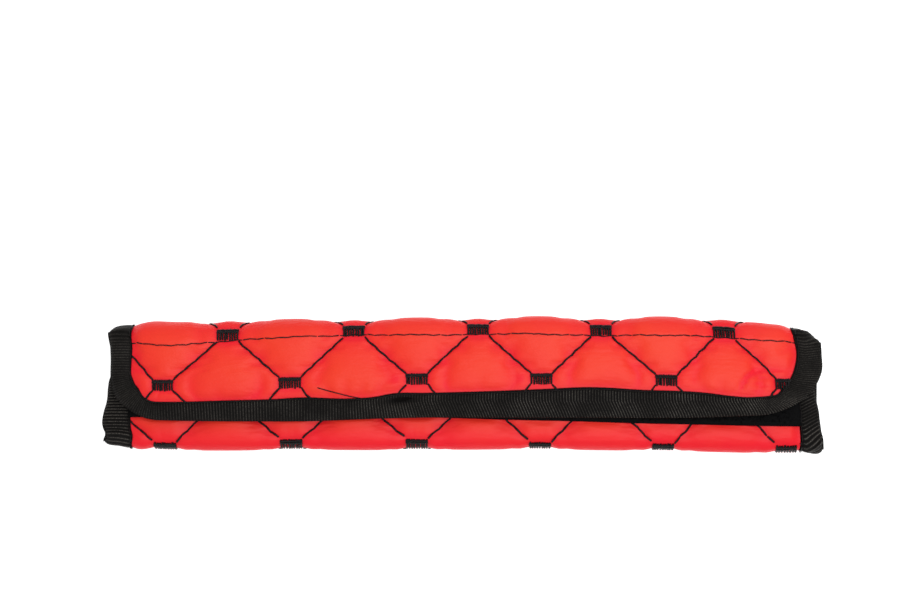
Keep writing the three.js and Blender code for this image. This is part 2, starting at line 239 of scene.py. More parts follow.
STRIP_SEAM_BOW = (
    (-150, 1.0), (-135, 0.2), (-120, -0.6), (-103, 0.8), (-80, 1.8), (-50, 1.8), (-20, 1.4), (10, 1.6),
    (60, 1.5), (75, 1.3), (110, 1.7), (127, 1.1), (137, 0.7), (150, 0.6),
)
LOOP_STRIP_SKEW = (
    (-150, 3.5), (-60, 3.3), (-11, 2.9), (14, 2.4), (43, 2.0), (69, 1.3), (98, 0.8), (125, 0.35),
    (150, 0.2),
)
PATTERN_SLIDE = (
    (-150, 1.4), (-125, 1.3), (-98, 0.6), (-72, 0.0), (-20, -0.1), (6, 0.6), (32, 1.3), (58, 1.4),
    (150, 1.4),
)
PATTERN_SLIDE_AT = (103.0, 9)

# How bows, pulls and ends come in: the share of the top's bow that is left below the back fold, for each
# end where its shift starts and over what length it comes in, and each pull with its row and its reach.
BACK_BOW_SHARE = 0.3
LEFT_END_REACH = (25, 23)
RIGHT_END_REACH = (32, 30)
ROW_PULLS = ((ROW_A_PULL, 0, 10), (ROW_B_PULL, 1, 10), (ROW_E_PULL, 4, 20))

# The flap's right corner is lifted: height, start, length and width. The flap's edge waves: height, length
# and start of the wave, how wide it is, where it ends and over what length, and how high it may come.
CORNER_LIFT = (2.6, 62, 80, 34)
FLAP_WAVE = (0.5, 31, 0.8)
FLAP_WAVE_WIDTH = 22
FLAP_WAVE_END = (60, 40)
HIGHEST_WAVE = 0.25

# The tape: its width on the tucked edge, how it changes in the corners, its ribs, folds and join, and the
# painted highlight on its ribs' tops, weaker at the hems and in the join's hollow as painted shade.
TUCK_TAPE = 10.0
FLAP_CORNERS_TAPE = (1.7, 0.6)
CORNER_BLEND = 16
CORNER_REACH = 11
SAMPLES_PER_RIB = 3
RIB_LOW = 0.2
RIB_HEIGHT = 0.16
RIB_SLANT = 0.45
RIB_SLANT_REACH = 7.0
RIB_SLANT_FROM = (-60, 60)
# How strong the painted highlight on the ribs' tops is along the flap, on the lower layer, at the hems and
# in the join's hollow.
RIB_GLINT = (
    (-150, 0.45), (-132, 0.5), (-110, 0.68), (-60, 0.75), (-20, 0.9), (125, 0.95), (140, 0.75),
    (150, 0.55),
)
LOWER_LAYER_GLINT = 1.1
LOWER_LAYER_FROM = (50, 30)
HEM_GLINT = 0.45
HOLLOW_SHADE = 0.7
LEFT_FUZZ, LEFT_FUZZ_END = 0.16, (-20, 40)
END_FUZZ, END_FUZZ_FROM = 0.30, (105, 35)
FUZZ_DEPTH = (38, 10)
GATHER_HEIGHT = 0.45
GATHER_LENGTH = 4.2
CORNER_GATHER = 0.25
FOLD_GATHER = 0.75
GATHERED_FOLDS = ((43, 7), (103, 9))
JOIN_AT = -27.0
JOIN_INSET = 7.6
JOIN_SLOPE = 0.05
JOIN_REACH = (7.5, 1.5)
JOIN_DEPTH = 1.3
JOIN_EDGE = 20
BINDING_SEAM_STEP = 2.8
BINDING_SEAM_AT = 0.93
BINDING_STITCH = {
    "Stitch Length": 0.00255,
    "Thread Thickness": 0.00042,
    "Arch Height": 0.00018,
    "Steps": 4,
    "Sides": 6,
}

# The quilting: how its seams bend, how the leather is pressed at the folds, and how deep it is creased.
SEAM_FLARE = 0.5
FLAP_SEAM_FLARE = 0.25
FLARED_ROW = 4
SEAM_GAP = 0.4
FLOOR_PLAY = 0.02
STRIP_MARGIN = 0.5
STRIP_RAMP = 1.6
FRONT_FOLD = (100.5, 6.5)
BACK_FOLD = (44.5, 5)
FRONT_FULLER, BACK_FULLER = 0.65, 0.3
FRONT_LOWER = 0.48
DEEPEST_HOLLOW = 0.3
# DARKEST_CREASE: how deep a crease is when its leather gets the full painted shade.
DARKEST_CREASE = 0.4
ARC_CENTRE = (123.4, 13.4)
ARC_CREASE = (8.45, 0.85, -1.1)
ARC_RIDGE = (5.85, 1.4, 0.15)
RIPPLE_HEIGHT = 0.16
DIMPLES_AT = ((-29.5, 16.4), (22.5, 16.4))
DIMPLE_REACH = (1.3, 2.4)
DIMPLE_DEPTH = 0.3

# The leather's colour: where painted shade makes it deeper at the folds, in creases and on slopes, and the
# foam and the lining under it.
FRONT_SHADE = (101, 8)
BACK_SHADE = (44, 6)
CROWN_POWER = 0.45
BACK_DARKER = 0.6
CREASE_DARKER = 0.9
SLOPE_DARKER = 0.9
STEEPEST = 0.5
SLOPE_END = 60
INNER_FACE_SHARE = 0.5
INNER_FACE_RISE = 0.85
MERGE_DISTANCE = 0.00002
FOAM_PICK = (slice(None, None, 3), slice(None, None, 4))
FOAM_RISE = 0.75
FOAM_PLAY = 0.15
LINING_ROWS, LINING_COLUMNS = 96, 121
LINING_PUFF = 0.12

# The fastening strips: thickness of their cloth, their tufts and the seam across the flap.
HOOK_CLOTH = 0.45
LOOP_CLOTH = 0.5
LOOP_STRIP_REACH = 2.4
STRIP_GRID = (14, 150)
STRIP_PRESSED = 0.15
HOOK_HEIGHT, LOOP_HEIGHT = 0.42, 0.55
TUFT_PITCH = 1.7
TUFT_SHIFT = 0.5
TUFT_MARGIN = 1.4
TUFT_EDGES = (1.6, 1.2)
TUFT_SIZES = (0.7, 1.25)
TUFT = {"Tuft Reach": 0.0011, "Thread Thickness": 0.00034, "Steps": 4, "Sides": 4}
STRIP_SEAM_AT = 34.6
STRIP_SEAM_INSET = 9.5
STRIP_STITCH = 3.0

# Threads: a stitch is drawn at one length and stretched to its own, and swings from side to side.
DRAWN_STITCH = 0.003
STITCH_SWING = 0.10
STITCH_UNEVEN = 0.035
STITCH_WIDTHS = (0.9, 1.1)
SATIN_STITCHES = 9
TACK_STRETCH = 1.05
FOLDED_TACKS_SHORTER = 0.7
TACK_INSET, TACK_INSET_BELOW = 8, 10.8
SATIN_HEIGHT = 0.42
BAR_OFFSETS = (1.75, 1.15)
BAR_HEIGHT = 0.34
BAR_HUMP = 0.18
PLACE_UNEVEN, START_UNEVEN, END_UNEVEN, LEAN_UNEVEN, BAR_UNEVEN = 0.05, 0.14, 0.08, 0.10, 0.06
SATIN_SHARES = (0.88, 1.05)
THIN_START = 0.55
THREAD_PLAY = 0.02
LOOSE_THREAD = ((-61.3, 13.8), (-57.5, 12.6), (-53, 11.2), (-48, 9.8), (-45, 9.1), (-42, 8.4))
LOOSE_THREAD_HEIGHT = 0.22
QUILTING_THREAD, SEAM_THREAD, LOOSE_THREAD_THICKNESS = 0.00082, 0.00046, 0.00042
QUILTING_ARCH, SEAM_ARCH = 0.00042, 0.00024
QUILTING_OVERLAP, SEAM_OVERLAP = 1.12, 1.06
SATIN_THREAD, BAR_THREAD = 0.00084, 0.00085

# The grid and the cloth simulation.
CELLS_BETWEEN_SEAMS = 12
ROW_STEP = 2.05
RECESS_PLAY = 0.05
SIM_SCALE = 10
SIM_FRAMES = 24
LARGEST_SHIFT = 4.0
MERGE_GRID = 2e-4
CROWN_PERCENTILE = 97
QUARTER_TURN = np.linspace(0, math.pi / 2, 200)

# The stage: each lamp's place, size and share of the power, and the camera's place beside its axis.
LAMPS = (
    ("large_lamp", (0.32, -0.05, 1.25), 0.9, 1.0),
    ("back_lamp", (0.30, 0.95, 0.85), 0.7, 0.22),
    ("front_lamp", (0.10, -0.70, 1.05), 0.8, 0.18),
)
FLOOR_HALF = 4.0
FLOOR_DROP = 0.0003
FLOOR_GLOW = 0.72
ROOM_LIGHT, ROOM_GLOW = 0.48, 0.52
PAD_MIDDLE_HEIGHT = 0.008
CAMERA_ASIDE, CAMERA_UP = 0.00147, 0.0325
SENSOR_WIDTH = 36


class PadForm:
    """The open panel, and the way it is rolled into a tube."""

    cover_thickness = 0.7
    foam_thickness = 0.4
    lining_thickness = 0.4
    layer_gap = 0.2
    pressed_crown = 1.2
    tape_thickness = 0.5
    tape_fit = 0.15
    edge_inset = 1.0
    squeeze_start = 0.3
    squeeze_length = 3.0
    recess_fit = 0.3
    hook_thickness = 0.9
    loop_thickness = 1.0
    tack_thickness = 0.5
    strip_play = 0.3
    strip_inset = 10.4
    footprint_shift = 0.05

    def __init__(self, sizes):
        self.length = sizes.panel_length / MM
        self.half_length = self.length / 2
        self.corner = sizes.corner_radius / MM
        self.lifted_corner = sizes.lifted_corner_radius / MM
        self.roll_shift = sizes.roll_shift / MM
        self.crown = sizes.crown / MM
        self.strip_width = sizes.strip_width / MM
        layers = self.cover_thickness + self.foam_thickness + self.lining_thickness
        self.pad_half = layers / 2 + self.layer_gap
        self.squeezed_half = (self.cover_thickness + self.lining_thickness + self.layer_gap) / 2
        self.tape_inner = self.squeezed_half + self.tape_fit
        self.tape_outer = self.tape_inner + self.tape_thickness
        self.hook_top = self.pad_half + self.layer_gap
        self.loop_bottom = self.pad_half + 2 * self.layer_gap + self.tack_thickness
        self.crown_under_strip = self.layer_gap + self.tack_thickness
        self.lay_path(sizes)
        self.lay_quilting(sizes)

    def lay_path(self, sizes):
        tube, back = sizes.tube_width / MM, sizes.back_radius / MM
        gap = sizes.channel_height / MM + 2 * self.tape_outer
        rise = self.loop_bottom + self.loop_thickness + self.strip_play + self.hook_top + self.hook_thickness
        front = gap / 2
        quarter = math.pi / 2
        runs = (
            (tube - back - sizes.flap_setback / MM, 0),
            (back * quarter, quarter),
            (gap + rise - 2 * back, 0),
            (back * quarter, quarter),
            (tube - back - front, 0),
            (front * 2 * quarter, 2 * quarter),
            (tube - front - sizes.tuck_setback / MM, 0),
        )
        self.path = []
        s, heading = 0.0, 0.0
        y = sizes.flap_setback / MM - tube / 2 + self.footprint_shift
        z = self.pad_half + self.pressed_crown + gap + rise
        for run, turn in runs:
            self.path.append((s, run, turn, y, z, heading))
            y, z, heading = self.along(run, run, turn, y, z, heading)
            s += run
        self.width = s

    @staticmethod
    def along(distance, run, turn, y, z, heading):
        if not turn:
            return y + distance * np.cos(heading), z + distance * np.sin(heading), heading + 0 * distance
        radius = run / turn
        turned = heading - distance / radius
        return (
            y + radius * (np.sin(heading) - np.sin(turned)),
            z + radius * (np.cos(turned) - np.cos(heading)),
            turned,
        )

    def middle_line(self, s):
        """The middle line at s: its place, and the way out of the panel."""
        place = [np.zeros_like(s) for _ in range(3)]
        for start, run, turn, y, z, heading in self.path:
            reached = self.along(s - start, run, turn, y, z, heading)
            here = (s >= start) | (start == 0)
            place = [np.where(here, new, old) for new, old in zip(reached, place)]
        y, z, heading = place
        return y, z, -np.sin(heading), np.cos(heading)

    def lay_quilting(self, sizes):
        self.columns, self.rows = sizes.columns, sizes.rows
        self.column_pitch = (self.length - (sizes.first_tack + sizes.last_tack) / MM) / (self.columns - 1)
        self.row_pitch = (self.width - (sizes.first_row + sizes.last_row) / MM) / (self.rows - 1)
        self.first_row = sizes.first_row / MM
        self.first_column = sizes.first_tack / MM - self.half_length
        self.tack_half = (sizes.tack_length / MM / 2, sizes.tack_width / MM / 2)
        self.recess = tuple(half + self.recess_fit for half in self.tack_half)
        self.seam_run = self.column_pitch - 2 * self.recess[0]
        self.seam_rise = self.row_pitch - 2 * self.recess[1]

    def tack_places(self):
        """The row of each bar tack and its place on the panel."""
        for row in range(self.rows):
            tack_s = self.first_row + row * self.row_pitch
            for column in range(self.columns):
                if (row + column) % 2 == 0:
                    yield row, self.first_column + column * self.column_pitch, tack_s

    def seam_place(self, number, s):
        """Where seam `number` crosses the line s of the panel."""
        row = np.floor((s - self.first_row) / self.row_pitch).astype(int)
        from_recess = s - self.first_row - row * self.row_pitch - self.recess[1]
        progress = np.clip(from_recess / self.seam_rise, 0, 1)
        flare = np.where(row == FLARED_ROW, SEAM_FLARE, np.where(row < 0, FLAP_SEAM_FLARE, 0))
        progress = progress + flare * progress * (1 - progress)
        share = np.where((number + row) % 2 == 0, progress, 1 - progress)
        return self.first_column + number * self.column_pitch + self.recess[0] + self.seam_run * share

    def corner_at(self, u, s):
        return np.where((u > 0) & (s < self.width / 2), self.lifted_corner, self.corner)

    def half_length_at(self, side, s, inset):
        """Half the panel's length at s on one side, inside a line that runs `inset` in from its outline."""
        radius = np.maximum(self.corner_at(side + 0 * s, s) - inset, 0)
        from_edge = np.minimum(s, self.width - s) - inset
        into = np.clip(radius - from_edge, 0, radius)
        return self.half_length - inset - radius + np.sqrt(radius**2 - into**2)

    def inside(self, u, s):
        """How far a point lies inside the panel's rounded outline."""
        radius = self.corner_at(u, s)
        to_end = self.half_length - np.abs(u)
        to_edge = np.minimum(s, self.width - s)
        cut_u, cut_s = radius - to_end, radius - to_edge
        rounded = radius - np.hypot(np.maximum(cut_u, 0), np.maximum(cut_s, 0))
        return np.where((cut_u > 0) & (cut_s > 0), rounded, np.minimum(to_end, to_edge))

    def tape_width(self, u, s):
        """How wide the tape lies on the leather nearest to a point of the panel."""
        to_end = self.half_length - np.abs(u)
        to_edge = np.minimum(s, self.width - s)
        on_flap = s < self.width / 2
        edge = np.where(on_flap, through(u, FLAP_TAPE), TUCK_TAPE)
        end = np.where(u < 0, through(s, LEFT_TAPE), through(s, RIGHT_TAPE))
        share = smooth((to_end - to_edge) / CORNER_BLEND + 0.5)
        flap_corner = hill(to_end, to_edge, CORNER_REACH) * on_flap
        return end + (edge - end) * share + np.where(u < 0, *FLAP_CORNERS_TAPE) * flap_corner

    def released(self, u, s):
        """How far the leather is free of the binding, from 0 under the tape to 1."""
        from_tape = self.inside(u, s) - self.tape_width(u, s)
        return np.clip((from_tape - self.squeeze_start) / self.squeeze_length, 0, 1)

    def near_end(self, along, start, length):
        """From 0 at a distance from the panel's end to 1 after a length, for a place along the panel."""
        return ramp(along, self.half_length - start, length)

    def settle(self, u, s):
        """How far the pad lies from its plain roll at a point of the panel: along, across and up."""
        levels = [through(u, bow) for bow in (FLAP_EDGE_BOW, ROW_A_BOW, ROW_B_BOW, TOP_BOW)]
        levels += [BACK_BOW_SHARE * levels[-1], 0 * u, through(u, FRONT_BOW), 0 * u]
        across = np.zeros_like(u)
        for i in range(len(BOW_STATIONS) - 1):
            start, end = BOW_STATIONS[i], BOW_STATIONS[i + 1]
            share = smooth((s - start) / (end - start))
            here = (s >= start) & (s < end) | ((i == 0) & (s < 0))
            across = np.where(here, levels[i] + (levels[i + 1] - levels[i]) * share, across)
        left = through(s, LEFT_END) * self.near_end(-u, *LEFT_END_REACH)
        right = through(s, RIGHT_END) * self.near_end(u, *RIGHT_END_REACH)
        along = left + right
        for pull, row, reach in ROW_PULLS:
            along = along + through(u, pull) * hill(s, self.first_row + row * self.row_pitch, reach)
        height, start, length, width = CORNER_LIFT
        lift = height * ramp(u, start, length) * smooth((width - s) / width)
        height, length, start = FLAP_WAVE
        wave = height * np.sin(u / length + start) * (1 - ramp(u, *FLAP_WAVE_END))
        wave = wave * smooth((FLAP_WAVE_WIDTH - s) / FLAP_WAVE_WIDTH)
        return along, across, lift + np.minimum(wave, HIGHEST_WAVE)

    @staticmethod
    def slid(u, s):
        """Where a line of the panel lies on the roll: the tacks at the front have crept round the fold."""
        return s - through(u, PATTERN_SLIDE) * hill(s, *PATTERN_SLIDE_AT)

    def place(self, u, s, h):
        """A point of the open panel, rolled up and settled, in metres."""
        u, s, h = (np.asarray(value, float) for value in np.broadcast_arrays(u, s, h))
        y, z, out_y, out_z = self.middle_line(self.slid(u, s))
        along, across, up = self.settle(u, s)
        x = u + self.roll_shift * (0.5 - s / self.width) + along
        return np.stack([x, y + h * out_y + across, z + h * out_z + up], -1) * MM

    def frame_at(self, u, s, h, turn):
        """Place, direction along a line that leaves u by `turn`, and the way out of the panel."""
        step = 0.2
        here = self.place(u, s, h)
        ahead = self.place(u + step * np.cos(turn), s + step * np.sin(turn), h)
        out = self.place(u, s, h + step) - here
        return here, unit(ahead - here), unit(out)

    def highest_crown(self, u, s):
        """How high the leather may rise over its seams: the floor and the loop strip press it flat."""
        _, z, _, out_z = self.middle_line(self.slid(u, s))
        level = 1e-3
        over_floor = z / np.maximum(-out_z, level) - self.pad_half - FLOOR_PLAY
        floor = np.where(out_z < -level, over_floor, np.inf)
        pressed = self.width - self.strip_inset - self.strip_width + self.skew(u)
        free = np.clip((pressed - STRIP_MARGIN - s) / STRIP_RAMP, 0, 1)
        return np.minimum(floor, self.crown_under_strip + np.where(free < 1, STRIP_RAMP * free, np.inf))

    @staticmethod
    def skew(u):
        """The loop strip is sewn on a little askew: how far it is shifted across the panel."""
        return through(u, LOOP_STRIP_SKEW)


# The quilted sheet: rows run along the belt, and every seam is a column of the grid.


def sheet_rows(form):
    """The values of s for the rows of the sheet, with each recess's edges among them."""
    marks = [form.edge_inset]
    for row in range(form.rows):
        middle = form.first_row + row * form.row_pitch
        marks += [middle - form.recess[1], middle + form.recess[1]]
    marks.append(form.width - form.edge_inset)
    rows = [marks[0]]
    for start, end in zip(marks, marks[1:]):
        steps = max(2, round((end - start) / ROW_STEP))
        rows += list(start + (end - start) * np.arange(1, steps + 1) / steps)
    return np.array(rows)


def sheet_grid(form):
    """u and s of every point of the sheet, and which of them lie on a seam."""
    rows = sheet_rows(form)
    seams = [form.seam_place(number, rows) for number in range(-2, form.columns + 1)]
    columns = []
    for left, right in zip(seams, seams[1:]):
        columns += [left + (right - left) * i / CELLS_BETWEEN_SEAMS for i in range(CELLS_BETWEEN_SEAMS)]
    u = np.array(columns + [seams[-1]]).T
    s = np.repeat(rows[:, None], u.shape[1], 1)
    low = -form.half_length_at(-1, rows, form.edge_inset)[:, None]
    high = form.half_length_at(1, rows, form.edge_inset)[:, None]
    on_seam = np.zeros(u.shape, bool)
    on_seam[:, ::CELLS_BETWEEN_SEAMS] = True
    return np.clip(u, low, high), s, on_seam


def grid_faces(rows, columns, start=0):
    i, j = np.meshgrid(np.arange(rows - 1), np.arange(columns - 1), indexing="ij")
    corner = start + i * columns + j
    return np.stack([corner, corner + 1, corner + columns + 1, corner + columns], -1).reshape(-1, 4)


def in_recess(form, u, s):
    """Which points lie in the recess of a tack."""
    found = np.zeros(u.shape, bool)
    half_u, half_s = (half + RECESS_PLAY for half in form.recess)
    for _, tack_u, tack_s in form.tack_places():
        found |= (np.abs(u - tack_u) < half_u) & (np.abs(s - tack_s) < half_s)
    return found


def merged_sheet(points, faces):
    """The points without their doubles and the faces that keep four corners, with where each point went."""
    cells = np.round(points / MERGE_GRID).astype(int)
    _, first, merged = np.unique(cells, axis=0, return_index=True, return_inverse=True)
    faces = merged.ravel()[faces]
    faces = faces[[len(set(face)) == 4 for face in faces.tolist()]]
    used, faces = np.unique(faces, return_inverse=True)
    place = np.full(len(first), -1)
    place[used] = np.arange(len(used))
    return first[used], faces.reshape(-1, 4), place[merged.ravel()]


def simulated_relief(form, u, s, on_seam):
    """Crowns and wrinkles from a cloth simulation: the sheet is sewn down along its seams and blown up."""
    points = np.stack([u, s, 0 * u], -1).reshape(-1, 3) * MM * SIM_SCALE
    kept, faces, place = merged_sheet(points, grid_faces(*u.shape))
    mesh = bpy.data.meshes.new("quilting_trial")
    mesh.from_pydata(points[kept].tolist(), [], faces.tolist())
    trial = bpy.data.objects.new("quilting_trial", mesh)
    bpy.context.collection.objects.link(trial)
    held = (on_seam | in_recess(form, u, s) | (form.released(u, s) <= 0)).ravel()[kept]
    group = trial.vertex_groups.new(name="sewn")
    group.add(np.nonzero(held)[0].tolist(), 1.0, "REPLACE")
    cloth = trial.modifiers.new("Cloth", "CLOTH")
    settings = cloth.settings
    settings.quality = 6
    settings.mass = 0.3
    settings.tension_stiffness = 22
    settings.compression_stiffness = 22
    settings.shear_stiffness = 11
    settings.bending_stiffness = 2.5
    settings.shrink_min = -0.022
    settings.vertex_group_mass = "sewn"
    settings.effector_weights.gravity = 0
    settings.use_pressure = True
    settings.uniform_pressure_force = 6
    cloth.collision_settings.use_collision = False
    for number in range(1, SIM_FRAMES + 1):
        bpy.context.scene.frame_set(number)
    shaped = trial.evaluated_get(bpy.context.evaluated_depsgraph_get())
    moved = np.zeros(len(kept) * 3, np.float32)
    shaped.to_mesh().vertices.foreach_get("co", moved)
    shaped.to_mesh_clear()
    shift = (moved.reshape(-1, 3) - points[kept]) / (MM * SIM_SCALE)
    bpy.context.scene.frame_set(1)
    bpy.data.objects.remove(trial)
    bpy.data.meshes.remove(mesh)
    shift = np.vstack([np.clip(np.nan_to_num(shift), -LARGEST_SHIFT, LARGEST_SHIFT), np.zeros(3)])
    shift = shift[place].reshape(*u.shape, 3)
    scale = form.crown / np.percentile(shift[..., 2], CROWN_PERCENTILE)
    return shift[..., 0], shift[..., 1], shift[..., 2] * scale


def refined(field, axis):
    """Twice as many cells along one axis, with the new points on a smooth curve through the old ones."""
    field = np.moveaxis(field, axis, 0)
    padded = np.concatenate([field[:1], field, field[-1:]])
    between = (9 * (field[:-1] + field[1:]) - padded[:-3] - padded[3:]) / 16
    fine = np.empty((2 * len(field) - 1, *field.shape[1:]))
    fine[::2], fine[1::2] = field, between
    return np.moveaxis(fine, 0, axis)


class QuiltedSheet:
    """The leather's relief on the open panel, made once and read by every piece that lies on it."""

    def __init__(self, form):
        self.form = form
        u, s, on_seam = sheet_grid(form)
        shift_u, shift_s, rise = simulated_relief(form, u, s, on_seam)
        free = form.released(u, s)
        front, back = hill(form.slid(u, s), *FRONT_FOLD), hill(s, *BACK_FOLD)
        power = 1 - FRONT_FULLER * front - BACK_FULLER * back
        full = np.clip(rise / form.crown, 0, 2) ** power * form.crown * (1 - FRONT_LOWER * front)
        rise = np.where(on_seam | in_recess(form, u, s), 0, full) * free
        fields = [u, s, shift_u * free, shift_s * free, rise]
        for axis in (0, 1):
            fields = [refined(field, axis) for field in fields]
        self.u, self.s, self.shift_u, self.shift_s, rise = fields
        limit = form.highest_crown(self.u, self.s)
        low = form.half_length_at(-1, self.s, form.edge_inset)
        high = form.half_length_at(1, self.s, form.edge_inset)
        self.u = np.clip(self.u, -low, high)
        creases = self.creases()
        self.rise = np.minimum(np.maximum(rise, -DEEPEST_HOLLOW) + creases, limit)
        # How creased each point is, from 0 to 1, which sets the painted shade of the leather there.
        self.creased = np.clip(-creases / DARKEST_CREASE, 0, 1)
        self.tight = form.released(self.u, self.s)

    def creases(self):
        """Small folds that the picture shows: an arc inside the lifted corner and dimples by two tacks."""
        u, s = self.u, self.s
        from_u, from_s = u - ARC_CENTRE[0], s - ARC_CENTRE[1]
        radius = np.hypot(from_u, from_s)
        corner = smooth((2 - from_u) / 5) * ramp(from_s, -1, 3)
        arc = sum(height * hill(radius, line, reach) for line, reach, height in (ARC_CREASE, ARC_RIDGE))
        ripples = RIPPLE_HEIGHT * np.sin(1.9 * from_s + 0.2 * from_u)
        ripples = ripples * hill(from_u, 0, 5) * hill(from_s, 3, 6)
        reach_u, reach_s = DIMPLE_REACH
        dimples = sum(hill(u, at_u, reach_u) * hill(s, at_s, reach_s) for at_u, at_s in DIMPLES_AT)
        return (arc * corner + ripples - DIMPLE_DEPTH * dimples) * self.form.released(u, s)

    def level(self, loose, squeezed):
        """A height that is one value under the binding and another where the leather is free."""
        return squeezed + (loose - squeezed) * self.tight


def new_piece(name, points, faces, material):
    mesh = bpy.data.meshes.new(name)
    mesh.from_pydata(np.asarray(points).tolist(), [], [list(map(int, face)) for face in faces])
    mesh.validate()
    mesh.shade_smooth()
    piece = bpy.data.objects.new(name, mesh)
    bpy.context.collection.objects.link(piece)
    piece.data.materials.append(material)
    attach(piece, BODY)
    return piece


def add_values(piece, name, values):
    attribute = piece.data.attributes.new(name, "FLOAT", "POINT")
    attribute.data.foreach_set("value", np.asarray(values, np.float32).ravel())


def closed_sheet(name, upper, lower, material):
    """A closed sheet between two grids of points."""
    rows, columns, _ = upper.shape
    points = np.concatenate([upper.reshape(-1, 3), lower.reshape(-1, 3)])
    below = rows * columns
    faces = [grid_faces(rows, columns), grid_faces(rows, columns, below)[:, ::-1]]
    index = np.arange(below).reshape(rows, columns)
    rim = np.concatenate([index[0, :-1], index[:-1, -1], index[-1, :0:-1], index[:0:-1, 0]])
    after = np.roll(rim, -1)
    faces.append(np.stack([rim, rim + below, after + below, after], -1))
    return new_piece(name, points, np.concatenate(faces), material)


def merge_close(piece, distance):
    work = bmesh.new()
    work.from_mesh(piece.data)
    bmesh.ops.remove_doubles(work, verts=work.verts, dist=distance)
    bmesh.ops.dissolve_degenerate(work, edges=work.edges, dist=distance / 2)
    work.to_mesh(piece.data)
    work.free()
    piece.data.shade_smooth()


# Shader groups and materials.


def shader_group(name, inputs, outputs):
    group = bpy.data.node_groups.new(name, "ShaderNodeTree")
    for socket, value in inputs:
        made = group.interface.new_socket(socket, in_out="INPUT", socket_type="NodeSocketFloat")
        made.default_value = value
    for socket in outputs:
        group.interface.new_socket(socket, in_out="OUTPUT", socket_type="NodeSocketFloat")
    return group, group.nodes.new("NodeGroupInput"), group.nodes.new("NodeGroupOutput")


def node(tree, kind, **settings):
    made = tree.nodes.new(kind)
    inputs = settings.pop("inputs", {})
    for key, value in settings.items():
        setattr(made, key, value)
    for key, value in inputs.items():
        if isinstance(value, bpy.types.NodeSocket):
            tree.links.new(value, made.inputs[key])
        else:
            made.inputs[key].default_value = value
    return made


def maths(tree, operation, first, second=0.0):
    return node(tree, "ShaderNodeMath", operation=operation, inputs={0: first, 1: second}).outputs[0]


def noise(tree, place, scale, detail):
    inputs = {"Vector": place, "Scale": scale, "Detail": detail}
    return node(tree, "ShaderNodeTexNoise", inputs=inputs).outputs["Fac"]


def attribute_value(tree, name):
    return node(tree, "ShaderNodeAttribute", attribute_name=name).outputs["Fac"]


def grain_group():
    """Pebble grain with pores and drawn-out wrinkles: a height and a blotchy mask, on Object coordinates."""
    name = "Pebble Grain"
    if name in bpy.data.node_groups:
        return bpy.data.node_groups[name]
    group, given, result = shader_group(
        name,
        [("Pebble Scale", 1500.0), ("Blotch Scale", 60.0), ("Pore Share", 0.35), ("Wrinkle Share", 0.0)],
        ["Height", "Blotch"],
    )
    place = node(group, "ShaderNodeTexCoord").outputs["Object"]
    pebbles = node(
        group,
        "ShaderNodeTexVoronoi",
        feature="SMOOTH_F1",
        inputs={"Vector": place, "Scale": given.outputs["Pebble Scale"], "Smoothness": 0.55},
    )
    pore_scale = maths(group, "MULTIPLY", given.outputs["Pebble Scale"], 1.7)
    pores = noise(group, place, pore_scale, 3.0)
    blotches = noise(group, place, given.outputs["Blotch Scale"], 3.0)
    pebble_height = maths(group, "SUBTRACT", 1.0, pebbles.outputs["Distance"])
    pore_height = maths(group, "MULTIPLY", pores, given.outputs["Pore Share"])
    drawn_out = node(group, "ShaderNodeMapping", inputs={"Vector": place, "Scale": (150.0, 620.0, 620.0)})
    wrinkles = noise(group, drawn_out.outputs[0], 1.0, 2.0)
    wrinkle_height = maths(group, "MULTIPLY", wrinkles, given.outputs["Wrinkle Share"])
    height = maths(group, "ADD", maths(group, "ADD", pebble_height, pore_height), wrinkle_height)
    group.links.new(height, result.inputs["Height"])
    group.links.new(blotches, result.inputs["Blotch"])
    return group


def twist_group():
    """Twisted yarn and fuzz on Object coordinates: a height and a mask of brighter fibres."""
    name = "Yarn Twist"
    if name in bpy.data.node_groups:
        return bpy.data.node_groups[name]
    group, given, result = shader_group(
        name, [("Yarn Scale", 2600.0), ("Fibre Scale", 5200.0)], ["Height", "Fibres"]
    )
    place = node(group, "ShaderNodeTexCoord").outputs["Object"]
    wave = node(
        group,
        "ShaderNodeTexWave",
        bands_direction="DIAGONAL",
        inputs={
            "Vector": place,
            "Scale": given.outputs["Yarn Scale"],
            "Distortion": 2.0,
            "Detail": 1.0,
        },
    )
    fibres = noise(group, place, given.outputs["Fibre Scale"], 2.0)
    mixed = maths(group, "ADD", wave.outputs["Fac"], maths(group, "MULTIPLY", fibres, 0.6))
    group.links.new(mixed, result.inputs["Height"])
    group.links.new(fibres, result.inputs["Fibres"])
    return group


def new_material(name):
    material = bpy.data.materials.new(name)
    material.use_nodes = True
    tree = material.node_tree
    return material, tree, tree.nodes["Principled BSDF"]


def grouped(tree, group, **values):
    made = node(tree, "ShaderNodeGroup", node_tree=group)
    for key, value in values.items():
        made.inputs[key.replace("_", " ")].default_value = value
    return made


def mixed_colour(tree, share, first, second):
    """A colour between two, by a share that changes over the surface."""
    mix = node(tree, "ShaderNodeMix", data_type="RGBA")
    factor, first_colour, second_colour, result = 0, 6, 7, 2
    mix.inputs[first_colour].default_value = (*first, 1)
    mix.inputs[second_colour].default_value = (*second, 1)
    tree.links.new(share, mix.inputs[factor])
    return mix.outputs[result]


def bump(tree, shader, height, distance, strength=1.0):
    inputs = {"Height": height, "Distance": distance, "Strength": strength}
    made = node(tree, "ShaderNodeBump", inputs=inputs)
    tree.links.new(made.outputs["Normal"], shader.inputs["Normal"])


def spread(tree, value, low, high, to_low=0.0, to_high=1.0):
    """A value spread from one range to another."""
    inputs = {"Value": value, "From Min": low, "From Max": high, "To Min": to_low, "To Max": to_high}
    return node(tree, "ShaderNodeMapRange", inputs=inputs).outputs["Result"]


